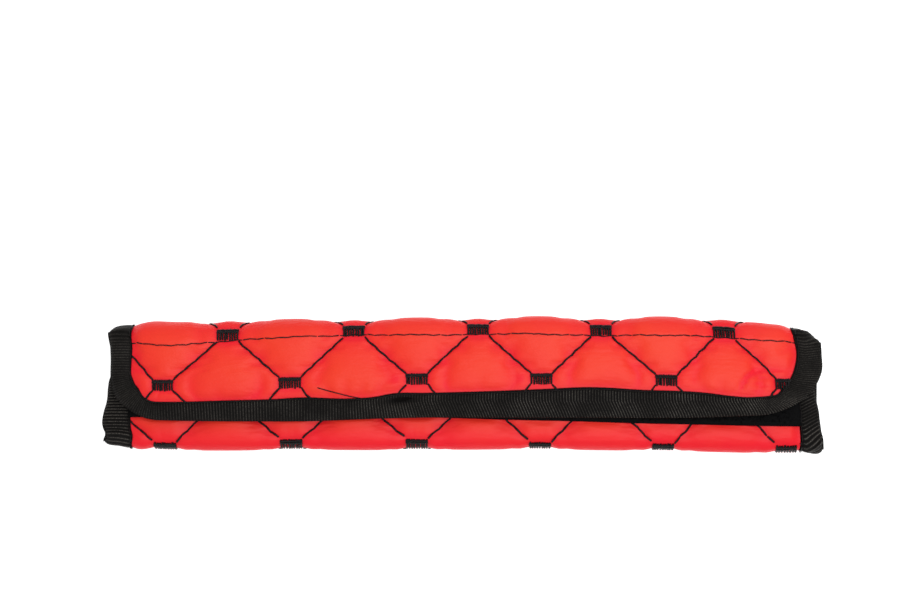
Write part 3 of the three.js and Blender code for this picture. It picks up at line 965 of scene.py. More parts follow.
def leather_material(colours):
    if "imitation_leather" in bpy.data.materials:
        return bpy.data.materials["imitation_leather"]
    material, tree, shader = new_material("imitation_leather")
    grain = grouped(
        tree, grain_group(), Pebble_Scale=1250.0, Blotch_Scale=45.0, Pore_Share=0.5, Wrinkle_Share=7.0
    )
    blotch = spread(tree, grain.outputs["Blotch"], 0.35, 0.65, -0.10, 0.10)
    # The crown attribute carries painted shade and light: it mixes the leather from its shaded colour to its
    # lit colour.
    share = spread(tree, maths(tree, "ADD", attribute_value(tree, "crown"), blotch), 0.0, 1.0)
    colour = mixed_colour(tree, share, tuple(colours.leather_in_shade), tuple(colours.leather))
    tree.links.new(colour, shader.inputs["Base Color"])
    tree.links.new(spread(tree, grain.outputs["Height"], 0.3, 1.3, 0.52, 0.40), shader.inputs["Roughness"])
    shader.inputs["Specular IOR Level"].default_value = 0.22
    bump(tree, shader, grain.outputs["Height"], distance=0.00006, strength=0.55)
    return material


def tape_material(colours):
    if "ribbed_tape" in bpy.data.materials:
        return bpy.data.materials["ribbed_tape"]
    material, tree, shader = new_material("ribbed_tape")
    twist = grouped(tree, twist_group(), Yarn_Scale=1500.0, Fibre_Scale=4200.0)
    # The rib attribute is a painted highlight on the ribs' tops, mixed in the rib colour.
    rib_glint = maths(tree, "POWER", attribute_value(tree, "rib_glint"), 2.2)
    patches = grouped(tree, grain_group(), Blotch_Scale=70.0).outputs["Blotch"]
    glint = maths(tree, "MULTIPLY", rib_glint, spread(tree, twist.outputs["Fibres"], 0.38, 0.66))
    glint = maths(tree, "MULTIPLY", glint, spread(tree, patches, 0.38, 0.62, 0.45, 1.45))
    colour = mixed_colour(tree, glint, tuple(colours.tape), tuple(colours.rib_glint))
    tree.links.new(colour, shader.inputs["Base Color"])
    shader.inputs["Roughness"].default_value = 0.5
    shader.inputs["Specular IOR Level"].default_value = 0.07
    bump(tree, shader, twist.outputs["Height"], distance=0.00008, strength=0.6)
    return material


def cloth_material(name, colour, yarn, fibre, roughness, gloss, depth):
    """Yarn or cloth: its colour, the scales of its yarn and fibres, its roughness, gloss and depth."""
    if name in bpy.data.materials:
        return bpy.data.materials[name]
    material, tree, shader = new_material(name)
    twist = grouped(tree, twist_group(), Yarn_Scale=yarn, Fibre_Scale=fibre)
    bright = tuple(min(1, 2.4 * part + 0.003) for part in colour)
    share = spread(tree, twist.outputs["Fibres"], 0.40, 0.72)
    tree.links.new(mixed_colour(tree, share, tuple(colour), bright), shader.inputs["Base Color"])
    shader.inputs["Roughness"].default_value = roughness
    shader.inputs["Specular IOR Level"].default_value = gloss
    bump(tree, shader, twist.outputs["Height"], distance=depth, strength=0.6)
    return material


def thread_material(colours):
    looks = dict(yarn=3200.0, fibre=6000.0, roughness=0.26, gloss=0.20, depth=0.00005)
    return cloth_material("sewing_thread", colours.thread, **looks)


def strip_material(colours):
    looks = dict(yarn=1400.0, fibre=3000.0, roughness=0.7, gloss=0.08, depth=0.0001)
    return cloth_material("fastening_tape", colours.strip, **looks)


def lining_material(colours):
    looks = dict(yarn=1100.0, fibre=2600.0, roughness=0.8, gloss=0.2, depth=0.00012)
    return cloth_material("knitted_lining", colours.lining, **looks)


def foam_material(colours):
    if "foam_sheet" in bpy.data.materials:
        return bpy.data.materials["foam_sheet"]
    material, tree, shader = new_material("foam_sheet")
    grain = grouped(tree, grain_group(), Pebble_Scale=900.0, Blotch_Scale=80.0, Pore_Share=0.8)
    dark = tuple(0.6 * part for part in colours.foam)
    share = spread(tree, grain.outputs["Height"], 0.3, 1.2)
    tree.links.new(mixed_colour(tree, share, dark, tuple(colours.foam)), shader.inputs["Base Color"])
    shader.inputs["Roughness"].default_value = 0.95
    bump(tree, shader, grain.outputs["Height"], distance=0.0002, strength=0.7)
    return material


# Geometry Nodes: sewn threads and the tufts of the fastening strips.


def geometry_tree(name, sizes):
    """A tree that takes points, sizes and a material, with its first and last node."""
    tree = bpy.data.node_groups.new(name, "GeometryNodeTree")
    tree.interface.new_socket("Geometry", in_out="INPUT", socket_type="NodeSocketGeometry")
    for size, value in sizes.items():
        kind = "NodeSocketInt" if isinstance(value, int) else "NodeSocketFloat"
        tree.interface.new_socket(size, in_out="INPUT", socket_type=kind).default_value = value
    tree.interface.new_socket("Material", in_out="INPUT", socket_type="NodeSocketMaterial")
    tree.interface.new_socket("Geometry", in_out="OUTPUT", socket_type="NodeSocketGeometry")
    return tree, tree.nodes.new("NodeGroupInput"), tree.nodes.new("NodeGroupOutput")


def named_value(tree, name, kind):
    """What a point of the tree's geometry says under a name."""
    made = node(tree, "GeometryNodeInputNamedAttribute", data_type=kind, inputs={"Name": name})
    return made.outputs["Attribute"]


def instances_on_points(tree, given, result, shape):
    """Sets one copy of a shape on each point, turned to its `along` and `out`, and ends the tree."""
    along, out, stretch = (named_value(tree, name, "FLOAT_VECTOR") for name in ("along", "out", "stretch"))
    first = node(tree, "FunctionNodeAlignRotationToVector", axis="X", inputs={"Vector": along})
    second = node(
        tree,
        "FunctionNodeAlignRotationToVector",
        axis="Z",
        pivot_axis="X",
        inputs={"Rotation": first.outputs["Rotation"], "Vector": out},
    )
    placed = node(
        tree,
        "GeometryNodeInstanceOnPoints",
        inputs={
            "Points": given.outputs["Geometry"],
            "Instance": shape,
            "Rotation": second.outputs["Rotation"],
            "Scale": stretch,
        },
    )
    finished(tree, given, result, placed.outputs["Instances"])


def finished(tree, given, result, shape):
    """Ends a tree: real, smooth and with its material."""
    real = node(tree, "GeometryNodeRealizeInstances", inputs={"Geometry": shape})
    smoothed = node(tree, "GeometryNodeSetShadeSmooth", inputs={"Geometry": real.outputs["Geometry"]})
    finish = node(
        tree,
        "GeometryNodeSetMaterial",
        inputs={"Geometry": smoothed.outputs["Geometry"], "Material": given.outputs["Material"]},
    )
    tree.links.new(finish.outputs["Geometry"], result.inputs["Geometry"])


def tube_round(tree, given, curve, share):
    """A tube of the tree's thread thickness round a curve, times a share that may change along it."""
    sized = node(tree, "GeometryNodeSetCurveRadius", inputs={"Curve": curve, "Radius": share})
    radius = maths(tree, "MULTIPLY", given.outputs["Thread Thickness"], 0.5)
    circle = node(
        tree,
        "GeometryNodeCurvePrimitiveCircle",
        inputs={"Resolution": given.outputs["Sides"], "Radius": radius},
    )
    tube = node(
        tree,
        "GeometryNodeCurveToMesh",
        inputs={
            "Curve": sized.outputs["Curve"],
            "Profile Curve": circle.outputs["Curve"],
            "Fill Caps": True,
        },
    )
    return tube.outputs["Mesh"]


def yarn_from_curve(tree, given, curve, taper):
    """A tube round a curve, thinner at its ends by `taper`."""
    along = node(tree, "GeometryNodeSplineParameter").outputs["Factor"]
    before, after = maths(tree, "MULTIPLY", along, 4), maths(tree, "SUBTRACT", 1, along)
    hump = maths(tree, "MULTIPLY", before, after)
    share = maths(tree, "ADD", maths(tree, "MULTIPLY", hump, taper), 1 - taper)
    return tube_round(tree, given, curve, share)


def bent_curve(tree, given, places):
    """A Bezier segment whose points are combined from the tree's inputs."""
    curve = node(tree, "GeometryNodeCurveQuadraticBezier", inputs={"Resolution": given.outputs["Steps"]})
    for socket, parts in places.items():
        combined = node(tree, "ShaderNodeCombineXYZ")
        for axis, (size, factor) in parts.items():
            tree.links.new(maths(tree, "MULTIPLY", given.outputs[size], factor), combined.inputs[axis])
        tree.links.new(combined.outputs[0], curve.inputs[socket])
    return curve.outputs["Curve"]


def sewing_tree():
    """Threads on points: each is an arched stitch of the given length."""
    name = "Sewn Threads"
    if name in bpy.data.node_groups:
        return bpy.data.node_groups[name]
    sizes = {
        "Stitch Length": DRAWN_STITCH,
        "Thread Thickness": 0.0005,
        "Arch Height": 0.0003,
        "Steps": 5,
        "Sides": 6,
    }
    tree, given, result = geometry_tree(name, sizes)
    places = {
        "Start": {"X": ("Stitch Length", -0.5)},
        "Middle": {"Z": ("Arch Height", 2.0)},
        "End": {"X": ("Stitch Length", 0.5)},
    }
    curve = bent_curve(tree, given, places)
    instances_on_points(tree, given, result, yarn_from_curve(tree, given, curve, 0.35))
    return tree


def laid_tree():
    """Threads laid along the edges of the points' mesh, as thick as each point says."""
    name = "Laid Threads"
    if name in bpy.data.node_groups:
        return bpy.data.node_groups[name]
    tree, given, result = geometry_tree(name, {"Thread Thickness": 0.0005, "Sides": 8})
    curve = node(tree, "GeometryNodeMeshToCurve", inputs={"Mesh": given.outputs["Geometry"]})
    share = named_value(tree, "share", "FLOAT")
    finished(tree, given, result, tube_round(tree, given, curve.outputs["Curve"], share))
    return tree


def tuft_tree():
    """Tufts on points: each rises from the cloth and bends over."""
    name = "Tufts"
    if name in bpy.data.node_groups:
        return bpy.data.node_groups[name]
    sizes = {
        "Tuft Height": 0.001,
        "Tuft Reach": 0.0008,
        "Thread Thickness": 0.0002,
        "Steps": 4,
        "Sides": 4,
    }
    tree, given, result = geometry_tree(name, sizes)
    places = {
        "Start": {},
        "Middle": {"X": ("Tuft Reach", 0.1), "Z": ("Tuft Height", 2.0)},
        "End": {"X": ("Tuft Reach", 1.0), "Z": ("Tuft Height", 0.25)},
    }
    curve = bent_curve(tree, given, places)
    instances_on_points(tree, given, result, yarn_from_curve(tree, given, curve, 0.2))
    return tree


def grown_piece(name, tree, points, edges, values, inputs, material, slot):
    """The plain mesh that a Geometry Nodes tree grows on points, with the values that it reads on each."""
    seed_mesh = bpy.data.meshes.new(name + "_points")
    seed_mesh.from_pydata(np.asarray(points).tolist(), edges, [])
    for key, value in values.items():
        value = np.asarray(value, np.float32)
        kind, field = ("FLOAT", "value") if value.ndim == 1 else ("FLOAT_VECTOR", "vector")
        seed_mesh.attributes.new(key, kind, "POINT").data.foreach_set(field, value.ravel())
    seeds = bpy.data.objects.new(name + "_points", seed_mesh)
    bpy.context.collection.objects.link(seeds)
    modifier = seeds.modifiers.new("Nodes", "NODES")
    modifier.node_group = tree
    given = dict(inputs, Material=material)
    for item in tree.interface.items_tree:
        if item.in_out == "INPUT" and item.name in given:
            modifier[item.identifier] = given[item.name]
    graph = bpy.context.evaluated_depsgraph_get()
    grown = bpy.data.meshes.new_from_object(seeds.evaluated_get(graph))
    grown.name = name
    piece = bpy.data.objects.new(name, grown)
    bpy.context.collection.objects.link(piece)
    bpy.data.objects.remove(seeds)
    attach(piece, BODY)
    return piece


def laid_threads(name, form, threads, thickness, material, slot):
    """Threads laid on the panel: each gives the u, s, height and share of thickness of its points."""
    points, edges, shares, start = [], [], [], 0
    for u, s, height, share in threads:
        points.append(form.place(u, s, height))
        shares.append(share)
        edges += [(i, i + 1) for i in range(start, start + len(u) - 1)]
        start += len(u)
    values = {"share": np.concatenate(shares)}
    inputs = {"Thread Thickness": thickness, "Sides": 8}
    points = np.concatenate(points)
    return grown_piece(name, laid_tree(), points, edges, values, inputs, material, slot)


# State that the operators share: the form and the relief, made once for a set of sizes.

shared = {}


def pad_form():
    if "form" not in shared:
        shared["form"] = PadForm(bpy.context.scene.pad_sizes)
    return shared["form"]


def quilted_sheet():
    if "sheet" not in shared:
        shared["sheet"] = QuiltedSheet(pad_form())
    return shared["sheet"]


def uneven():
    """A fresh source of unevenness, the same on every run."""
    return np.random.default_rng(bpy.context.scene.pad_view.seed)


class PAD_OT_cover(bpy.types.Operator):
    """Makes the quilted leather cover and the foam under it"""

    bl_idname = "pad.cover"
    bl_label = "Cover and Foam"

    def execute(self, context):
        form, sheet = pad_form(), quilted_sheet()
        u, s = sheet.u + sheet.shift_u, sheet.s + sheet.shift_s
        level = sheet.level(form.pad_half, form.squeezed_half)
        upper = form.place(u, s, level + sheet.rise)
        lower = form.place(u, s, level - form.cover_thickness + INNER_FACE_RISE * sheet.rise)
        material = leather_material(context.scene.pad_colours)
        cover = closed_sheet("cover", upper, lower, material)
        crown = self.crown(form, sheet).ravel()
        # The cover's inner face gets half the crown share, so more painted shade.
        add_values(cover, "crown", np.concatenate([crown, INNER_FACE_SHARE * crown]))
        merge_close(cover, MERGE_DISTANCE)
        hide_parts("quilted_cover")
        self.add_foam(context, form, sheet)
        return {"FINISHED"}

    @staticmethod
    def crown(form, sheet):
        """How much of the lit leather colour shows, the rest being painted shade: all of it on the crowns,
        less at the folds, in creases and on slopes.
        """
        front = hill(form.slid(sheet.u, sheet.s), *FRONT_SHADE)
        back = hill(sheet.s, *BACK_SHADE)
        bright = np.clip(sheet.rise / form.crown, 0, 1) ** CROWN_POWER
        bright = bright * (1 - front) * (1 - BACK_DARKER * back)
        slope = np.clip(-np.gradient(sheet.rise, sheet.s[:, 0], axis=0), 0, STEEPEST)
        dark = CREASE_DARKER * sheet.creased + SLOPE_DARKER * slope * (sheet.s < SLOPE_END)
        return np.clip(bright - dark, 0, 1)

    @staticmethod
    def add_foam(context, form, sheet):
        u, s = (sheet.u + sheet.shift_u)[FOAM_PICK], (sheet.s + sheet.shift_s)[FOAM_PICK]
        inset = form.strip_inset + form.squeeze_length
        s = np.clip(s, inset, form.width - inset)
        low = form.half_length_at(-1, s, inset)
        high = form.half_length_at(1, s, inset)
        u = np.clip(u, -low, high)
        top = form.pad_half - form.cover_thickness - form.layer_gap
        rise = FOAM_RISE * np.maximum(sheet.rise[FOAM_PICK] - FOAM_PLAY, 0) * form.released(u, s)
        upper = form.place(u, s, top + rise)
        lower = form.place(u, s, top - form.foam_thickness)
        foam = closed_sheet("foam", upper, lower, foam_material(context.scene.pad_colours))
        merge_close(foam, MERGE_DISTANCE)
        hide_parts("foam_pad")


class PAD_OT_lining(bpy.types.Operator):
    """Makes the lining cloth inside the tube"""

    bl_idname = "pad.lining"
    bl_label = "Lining"

    def execute(self, context):
        form = pad_form()
        rows = np.linspace(form.edge_inset, form.width - form.edge_inset, LINING_ROWS)
        shares = np.linspace(0, 1, LINING_COLUMNS)
        low = -form.half_length_at(-1, rows, form.edge_inset)[:, None]
        high = form.half_length_at(1, rows, form.edge_inset)[:, None]
        u = low + (high - low) * shares
        s = np.repeat(rows[:, None], u.shape[1], 1)
        tight = form.released(u, s)
        inner = -form.squeezed_half - (form.pad_half - form.squeezed_half) * tight
        puff = LINING_PUFF * np.sin(u / 4.1 + 0.9 * np.sin(s / 7)) * np.sin(s / 5.3) * tight
        lower = form.place(u, s, inner + puff)
        upper = form.place(u, s, inner + puff + form.lining_thickness)
        material = lining_material(context.scene.pad_colours)
        lining = closed_sheet("lining_cloth", upper, lower, material)
        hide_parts("lining")
        return {"FINISHED"}


def outline(form):
    """The panel's outline as a table: distance run, place on the panel and the way out."""
    corners = (
        (1, -1, form.lifted_corner, -math.pi / 2),
        (1, 1, form.corner, 0),
        (-1, 1, form.corner, math.pi / 2),
        (-1, -1, form.corner, math.pi),
    )
    pieces = []
    for sign_u, sign_s, radius, angle in corners:
        middle_u = sign_u * (form.half_length - radius)
        middle_s = form.width / 2 + sign_s * (form.width / 2 - radius)
        out_u, out_s = np.cos(angle + QUARTER_TURN), np.sin(angle + QUARTER_TURN)
        pieces.append(np.stack([middle_u + radius * out_u, middle_s + radius * out_s, out_u, out_s], -1))
    dense = np.concatenate(pieces + [pieces[0][:1]])
    run = np.concatenate([[0], np.cumsum(np.hypot(*np.diff(dense[:, :2], axis=0).T))])
    return run, dense


def outline_at(table, distance):
    """Place and way out at a distance run round the outline."""
    run, dense = table
    u, s, out_u, out_s = (np.interp(distance % run[-1], run, dense[:, column]) for column in range(4))
    size = np.hypot(out_u, out_s)
    return u, s, out_u / size, out_s / size


def outline_steps(table, step):
    """Distances round the whole outline, about `step` apart."""
    count = round(table[0][-1] / step)
    return np.arange(count) * table[0][-1] / count


def tape_section(form, width, ease):
    """Inset from the outline and height over the middle line, round the folded tape's section."""
    half, inner = form.tape_outer, form.tape_inner
    share = np.array([1, 0.97, 0.93, 0.87, 0.78, 0.66, 0.54, 0.42, 0.31, 0.21, 0.13, 0.07, 0.03])
    dome = np.array([-0.16, 0.02, -0.16, 0.02, 0.22, 0.36, 0.42, 0.42, 0.36, 0.24, 0.02, -0.30, -0.72])
    lower_dome, nose_half, fold_inset = 0.6, 0.35, 0.6
    flat = 0 * width
    upper = [(width * a, half + ease * b) for a, b in zip(share, dome)]
    nose = [(flat, nose_half + flat), (flat, -nose_half + flat)]
    lower = [(width * a, -half - lower_dome * ease * b) for a, b in zip(share[::-1], dome[::-1])]
    lining_side = [(width, -inner + flat), (fold_inset + flat, -inner + flat)]
    cover_side = [(fold_inset + flat, inner + flat), (width, inner + flat)]
    return upper + nose + lower + lining_side + cover_side, len(share)


class PAD_OT_binding(bpy.types.Operator):
    """Makes the ribbed tape folded over the panel's edge, and the seam that holds it"""

    bl_idname = "pad.binding"
    bl_label = "Edge Binding"

    def execute(self, context):
        form = pad_form()
        table = outline(form)
        ribs = SAMPLES_PER_RIB * round(table[0][-1] * MM / context.scene.pad_sizes.rib_pitch)
        distance = outline_steps(table, table[0][-1] / ribs)
        crest = np.where(np.arange(ribs) % SAMPLES_PER_RIB == 0, 1.0, RIB_LOW)
        u, s, _, _ = outline_at(table, distance)
        gather = self.gathers(form, u, s)
        section, top_points = tape_section(form, form.tape_width(u, s), 1 + gather)
        bunched = GATHER_HEIGHT * gather * np.sin(2 * math.pi * distance / GATHER_LENGTH)
        # The ribs' tops get a painted highlight, and the flap's tape is lighter where it is fuzzy.
        glint, fuzz = (crest - RIB_LOW) / (1 - RIB_LOW) * self.rib_glints(u, s), self.fuzz(u, s)
        points, rib_mask = [], []
        for index, (inset, height) in enumerate(section):
            outer = 1 if index < 2 * top_points + 2 else 0
            side = 1 if index < top_points + 1 else -1
            at_hem = index < 3 or index > 2 * top_points - 2
            slant = RIB_SLANT * np.minimum(inset, RIB_SLANT_REACH) * ramp(u, *RIB_SLANT_FROM) * outer
            here_u, here_s, out_u, out_s = outline_at(table, distance - slant)
            lift = (RIB_HEIGHT * crest + bunched) * outer * side
            # The hems get a weaker painted highlight, a painted shade along the tape's inner edges.
            seen = HEM_GLINT if at_hem else 1.0
            if side > 0:
                hollow = self.join(here_u, here_s, inset) * outer
                # The join's hollow loses its painted highlight: painted shade in the hollow.
                lift, seen = lift + hollow, seen * (1 + HOLLOW_SHADE * hollow)
            points.append(form.place(here_u - out_u * inset, here_s - out_s * inset, height + lift))
            rib_mask.append((glint + fuzz) * outer * seen)
        points = np.stack(points, 1)
        count, ring = points.shape[:2]
        i, j = np.meshgrid(np.arange(count), np.arange(ring), indexing="ij")
        ahead, beside = (i + 1) % count, (j + 1) % ring
        corners = [i * ring + beside, ahead * ring + beside, ahead * ring + j, i * ring + j]
        faces = np.stack(corners, -1).reshape(-1, 4)
        material = tape_material(context.scene.pad_colours)
        binding = new_piece("binding", points.reshape(-1, 3), faces, material)
        add_values(binding, "rib_glint", np.stack(rib_mask, 1))
        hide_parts("edge_binding")
        self.add_seam(context, form)
        return {"FINISHED"}

    @staticmethod
    def rib_glints(u, s):
        """How bright the painted highlight on the ribs' tops is: most on the lower layer, least on the
        flap's left end.
        """
        flap = through(u, RIB_GLINT)
        return flap + (LOWER_LAYER_GLINT - flap) * ramp(s, *LOWER_LAYER_FROM)

    @staticmethod
    def fuzz(u, s):
        """How fuzzy the flap's tape is all over: a little on its left half and more at its ends."""
        left = LEFT_FUZZ * (1 - ramp(u, *LEFT_FUZZ_END))
        ends = END_FUZZ * ramp(np.abs(u), *END_FUZZ_FROM)
        return np.maximum(left, ends) * (1 - ramp(s, *FUZZ_DEPTH))

    @staticmethod
    def join(u, s, inset):
        """The hollow in the tape's inner edge where its two ends meet on the flap."""
        reach_along, reach_across = JOIN_REACH
        middle = JOIN_INSET + JOIN_SLOPE * (u - JOIN_AT)
        hollow = hill(u, JOIN_AT, reach_along) * hill(inset, middle, reach_across)
        return -JOIN_DEPTH * hollow * (s < JOIN_EDGE)

    @staticmethod
    def gathers(form, u, s):
        """Where the tape is bunched: at the corners and where the panel folds."""
        beside, length = 4, 8
        from_edge = np.minimum(s, form.width - s)
        corner = form.near_end(np.abs(u), form.corner + beside, length)
        corner = corner * smooth((form.corner + beside - from_edge) / length)
        folds = sum(hill(s, *fold) for fold in GATHERED_FOLDS)
        return CORNER_GATHER * corner + FOLD_GATHER * folds * form.near_end(np.abs(u), 3, 3)

    @staticmethod
    def add_seam(context, form):
        table = outline(form)
        u, s, out_u, out_s = outline_at(table, outline_steps(table, BINDING_SEAM_STEP))
        inset = form.tape_width(u, s) * BINDING_SEAM_AT
        turn = np.arctan2(out_u, -out_s)
        places = []
        for side in (1, -1):
            height = side * (form.tape_outer + THREAD_PLAY) + 0 * u
            here, along, out = form.frame_at(u - out_u * inset, s - out_s * inset, height, turn)
            places.append((here, along, out * side))
        points, along, out = (np.concatenate(parts) for parts in zip(*places))
        values = {"along": along, "out": out, "stretch": np.ones_like(points)}
        material = thread_material(context.scene.pad_colours)
        grown_piece("binding_seam", sewing_tree(), points, [], values, BINDING_STITCH, material, "thread")


class PAD_OT_strips(bpy.types.Operator):
    """Makes the hook strip and the loop strip, with their tufts, pressed along the lines of their seams"""

    bl_idname = "pad.strips"
    bl_label = "Hook and Loop Strips"

    def execute(self, context):
        form = pad_form()
        start, loop_start = form.strip_inset, form.width - form.strip_inset - form.strip_width
        hook_bottom, loop_top = -form.hook_top - HOOK_CLOTH, form.loop_bottom + LOOP_CLOTH
        hook, loop = (hook_bottom, -form.hook_top), (form.loop_bottom, loop_top)
        self.add_strip(context, form, "hook_tape", "hook_strip", start, -1, hook)
        self.add_strip(context, form, "loop_tape", "loop_strip", loop_start, 1, loop)
        self.add_tufts(context, form, "hook_tufts", start, -1, hook_bottom, HOOK_HEIGHT)
        self.add_tufts(context, form, "loop_tufts", loop_start, 1, loop_top, LOOP_HEIGHT)
        return {"FINISHED"}

    @staticmethod
    def add_strip(context, form, name, node_name, start, side, faces):
        """One strip from `start` across the panel, pressed along the seams of its outer side."""
        end = start + form.strip_width
        rows, columns = STRIP_GRID
        rows = np.linspace(start, end, rows)
        reach = LOOP_STRIP_REACH if side > 0 else 0
        low = -form.half_length_at(-1, rows, form.strip_inset)[:, None]
        high = form.half_length_at(1, rows, form.strip_inset - reach)[:, None]
        u = low + (high - low) * np.linspace(0, 1, columns)
        s = np.repeat(rows[:, None], u.shape[1], 1) + (form.skew(u) if side > 0 else 0)
        from_edge = np.minimum(np.abs(s - start), np.abs(s - end))
        pressed = STRIP_PRESSED * hill(from_edge, 2, 0.8)
        lower, upper = faces
        top = form.place(u, s, upper - (pressed if side > 0 else 0))
        bottom = form.place(u, s, lower + (pressed if side < 0 else 0))
        strip = closed_sheet(name, top, bottom, strip_material(context.scene.pad_colours))
        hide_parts(node_name)

    @staticmethod
    def add_tufts(context, form, name, start, side, base, height):
        """The tufts of one strip, from its cloth at `base`."""
        rng = uneven()
        end = form.half_length - form.strip_inset - 2
        first, last = TUFT_EDGES
        s_values = np.arange(start + first, start + form.strip_width - last, TUFT_PITCH)
        u_values = np.arange(-end, end, TUFT_PITCH)
        u, s = (grid.ravel() for grid in np.meshgrid(u_values, s_values))
        u = u + rng.uniform(-TUFT_SHIFT, TUFT_SHIFT, u.shape)
        s = s + rng.uniform(-TUFT_SHIFT, TUFT_SHIFT, s.shape)
        keep = form.inside(u, s) > form.strip_inset + TUFT_MARGIN
        u, s = u[keep], s[keep]
        s = s + (form.skew(u) if side > 0 else 0)
        turn = rng.uniform(0, 2 * math.pi, u.shape)
        points, along, out = form.frame_at(u, s, base + 0 * u, turn)
        stretch = np.ones_like(points) * rng.uniform(*TUFT_SIZES, u.shape)[:, None]
        values = {"along": along, "out": out * side, "stretch": stretch}
        material, slot = strip_material(context.scene.pad_colours), "hook_tape" if side < 0 else "loop_tape"
        sizes = {"Tuft Height": height * MM, **TUFT}
        grown_piece(name, tuft_tree(), points, [], values, sizes, material, slot)


def walk(points, step):
    """Places every `step` along a line of points, the direction there and the true step."""
    points = np.asarray(points, float)
    run = np.concatenate([[0], np.cumsum(np.linalg.norm(np.diff(points, axis=0), axis=1))])
    count = max(1, round(run[-1] / step))
    middle = (np.arange(count) + 0.5) * run[-1] / count
    near = 0.1
    place, ahead, behind = (
        np.stack([np.interp(at, run, points[:, axis]) for axis in range(2)], -1)
        for at in (middle, middle + near, middle - near)
    )
    turn = np.arctan2(*(ahead - behind).T[::-1])
    return place, turn, run[-1] / count


class PAD_OT_stitches(bpy.types.Operator):
    """Sews the quilting seams and the long seam of the hook strip"""

    bl_idname = "pad.stitches"
    bl_label = "Quilting Stitches"

    def execute(self, context):
        form = pad_form()
        rng = uneven()
        step = context.scene.pad_sizes.stitch_length / MM
        quilting = [walk(line, step) for line in self.quilting_lines(form)]
        thread, arch = QUILTING_THREAD, QUILTING_ARCH
        self.sew(context, form, "quilting_stitches", quilting, rng, thread, arch, QUILTING_OVERLAP)
        seam = [walk(self.strip_seam(form), STRIP_STITCH)]
        self.sew(context, form, "strip_seam", seam, rng, SEAM_THREAD, SEAM_ARCH, SEAM_OVERLAP)
        return {"FINISHED"}

    @staticmethod
    def quilting_lines(form):
        """The seams between the tacks, as far as they show inside the binding."""
        for number in range(-1, form.columns + 1):
            for row in range(-1, form.rows):
                edge = form.first_row + row * form.row_pitch + form.recess[1]
                short = SEAM_GAP if row == FLARED_ROW and (number + row) % 2 else 0
                s = np.linspace(max(edge + short, 0.5), min(edge + form.seam_rise, form.width - 0.5), 60)
                u = form.seam_place(number, s)
                keep = form.inside(u, s) > form.tape_width(u, s) - 1
                if keep.sum() > 2:
                    yield np.stack([u[keep], s[keep]], -1)

    @staticmethod
    def strip_seam(form):
        """The long seam of the hook strip, a little wavy."""
        end = form.half_length - STRIP_SEAM_INSET
        u = np.linspace(-end, end, 300)
        wave = 0.18 * np.sin(u / 9.0) + 0.12 * np.sin(u / 3.7 + 1)
        return np.stack([u, STRIP_SEAM_AT + wave + through(u, STRIP_SEAM_BOW)], -1)

    @staticmethod
    def sew(context, form, name, lines, rng, thickness, arch, overlap):
        """Stitches on lines: one thread piece, each stitch laid on the leather and swung a little."""
        sheet = quilted_sheet()
        points, along, out, stretch = [], [], [], []
        for place, turn, spacing in lines:
            swing = np.where(np.arange(len(turn)) % 2 == 0, 1, -1) * STITCH_SWING
            swing = swing + rng.normal(0, STITCH_UNEVEN, turn.shape)
            u, s = place.T
            here, ahead, up = form.frame_at(u, s, relief_at(sheet, u, s), turn + swing)
            points.append(here)
            along.append(ahead)
            out.append(up)
            length = np.full(len(u), spacing * MM * overlap / DRAWN_STITCH)
            width = rng.uniform(*STITCH_WIDTHS, len(u))
            stretch.append(np.stack([length, width, np.ones(len(u))], -1))
        names = ("along", "out", "stretch")
        values = {key: np.concatenate(parts) for key, parts in zip(names, (along, out, stretch))}
        sizes = {
            "Stitch Length": DRAWN_STITCH,
            "Thread Thickness": thickness,
            "Arch Height": arch,
            "Steps": 5,
            "Sides": 6,
        }
        points = np.concatenate(points)
        material = thread_material(context.scene.pad_colours)
        grown_piece(name, sewing_tree(), points, [], values, sizes, material, "thread")


def relief_at(sheet, u, s):
    """Height of the leather over the panel's middle line, at any place."""
    rows = sheet.s[:, 0]
    level = sheet.level(sheet.form.pad_half, sheet.form.squeezed_half) + sheet.rise
    i = np.clip(np.searchsorted(rows, s) - 1, 0, len(rows) - 2)
    t = (s - rows[i]) / (rows[i + 1] - rows[i])
    heights = []
    for a, b, k in zip(u, t, i):
        before, after = (np.interp(a, sheet.u[row], level[row]) for row in (k, k + 1))
        heights.append((1 - b) * before + b * after)
    return np.array(heights)


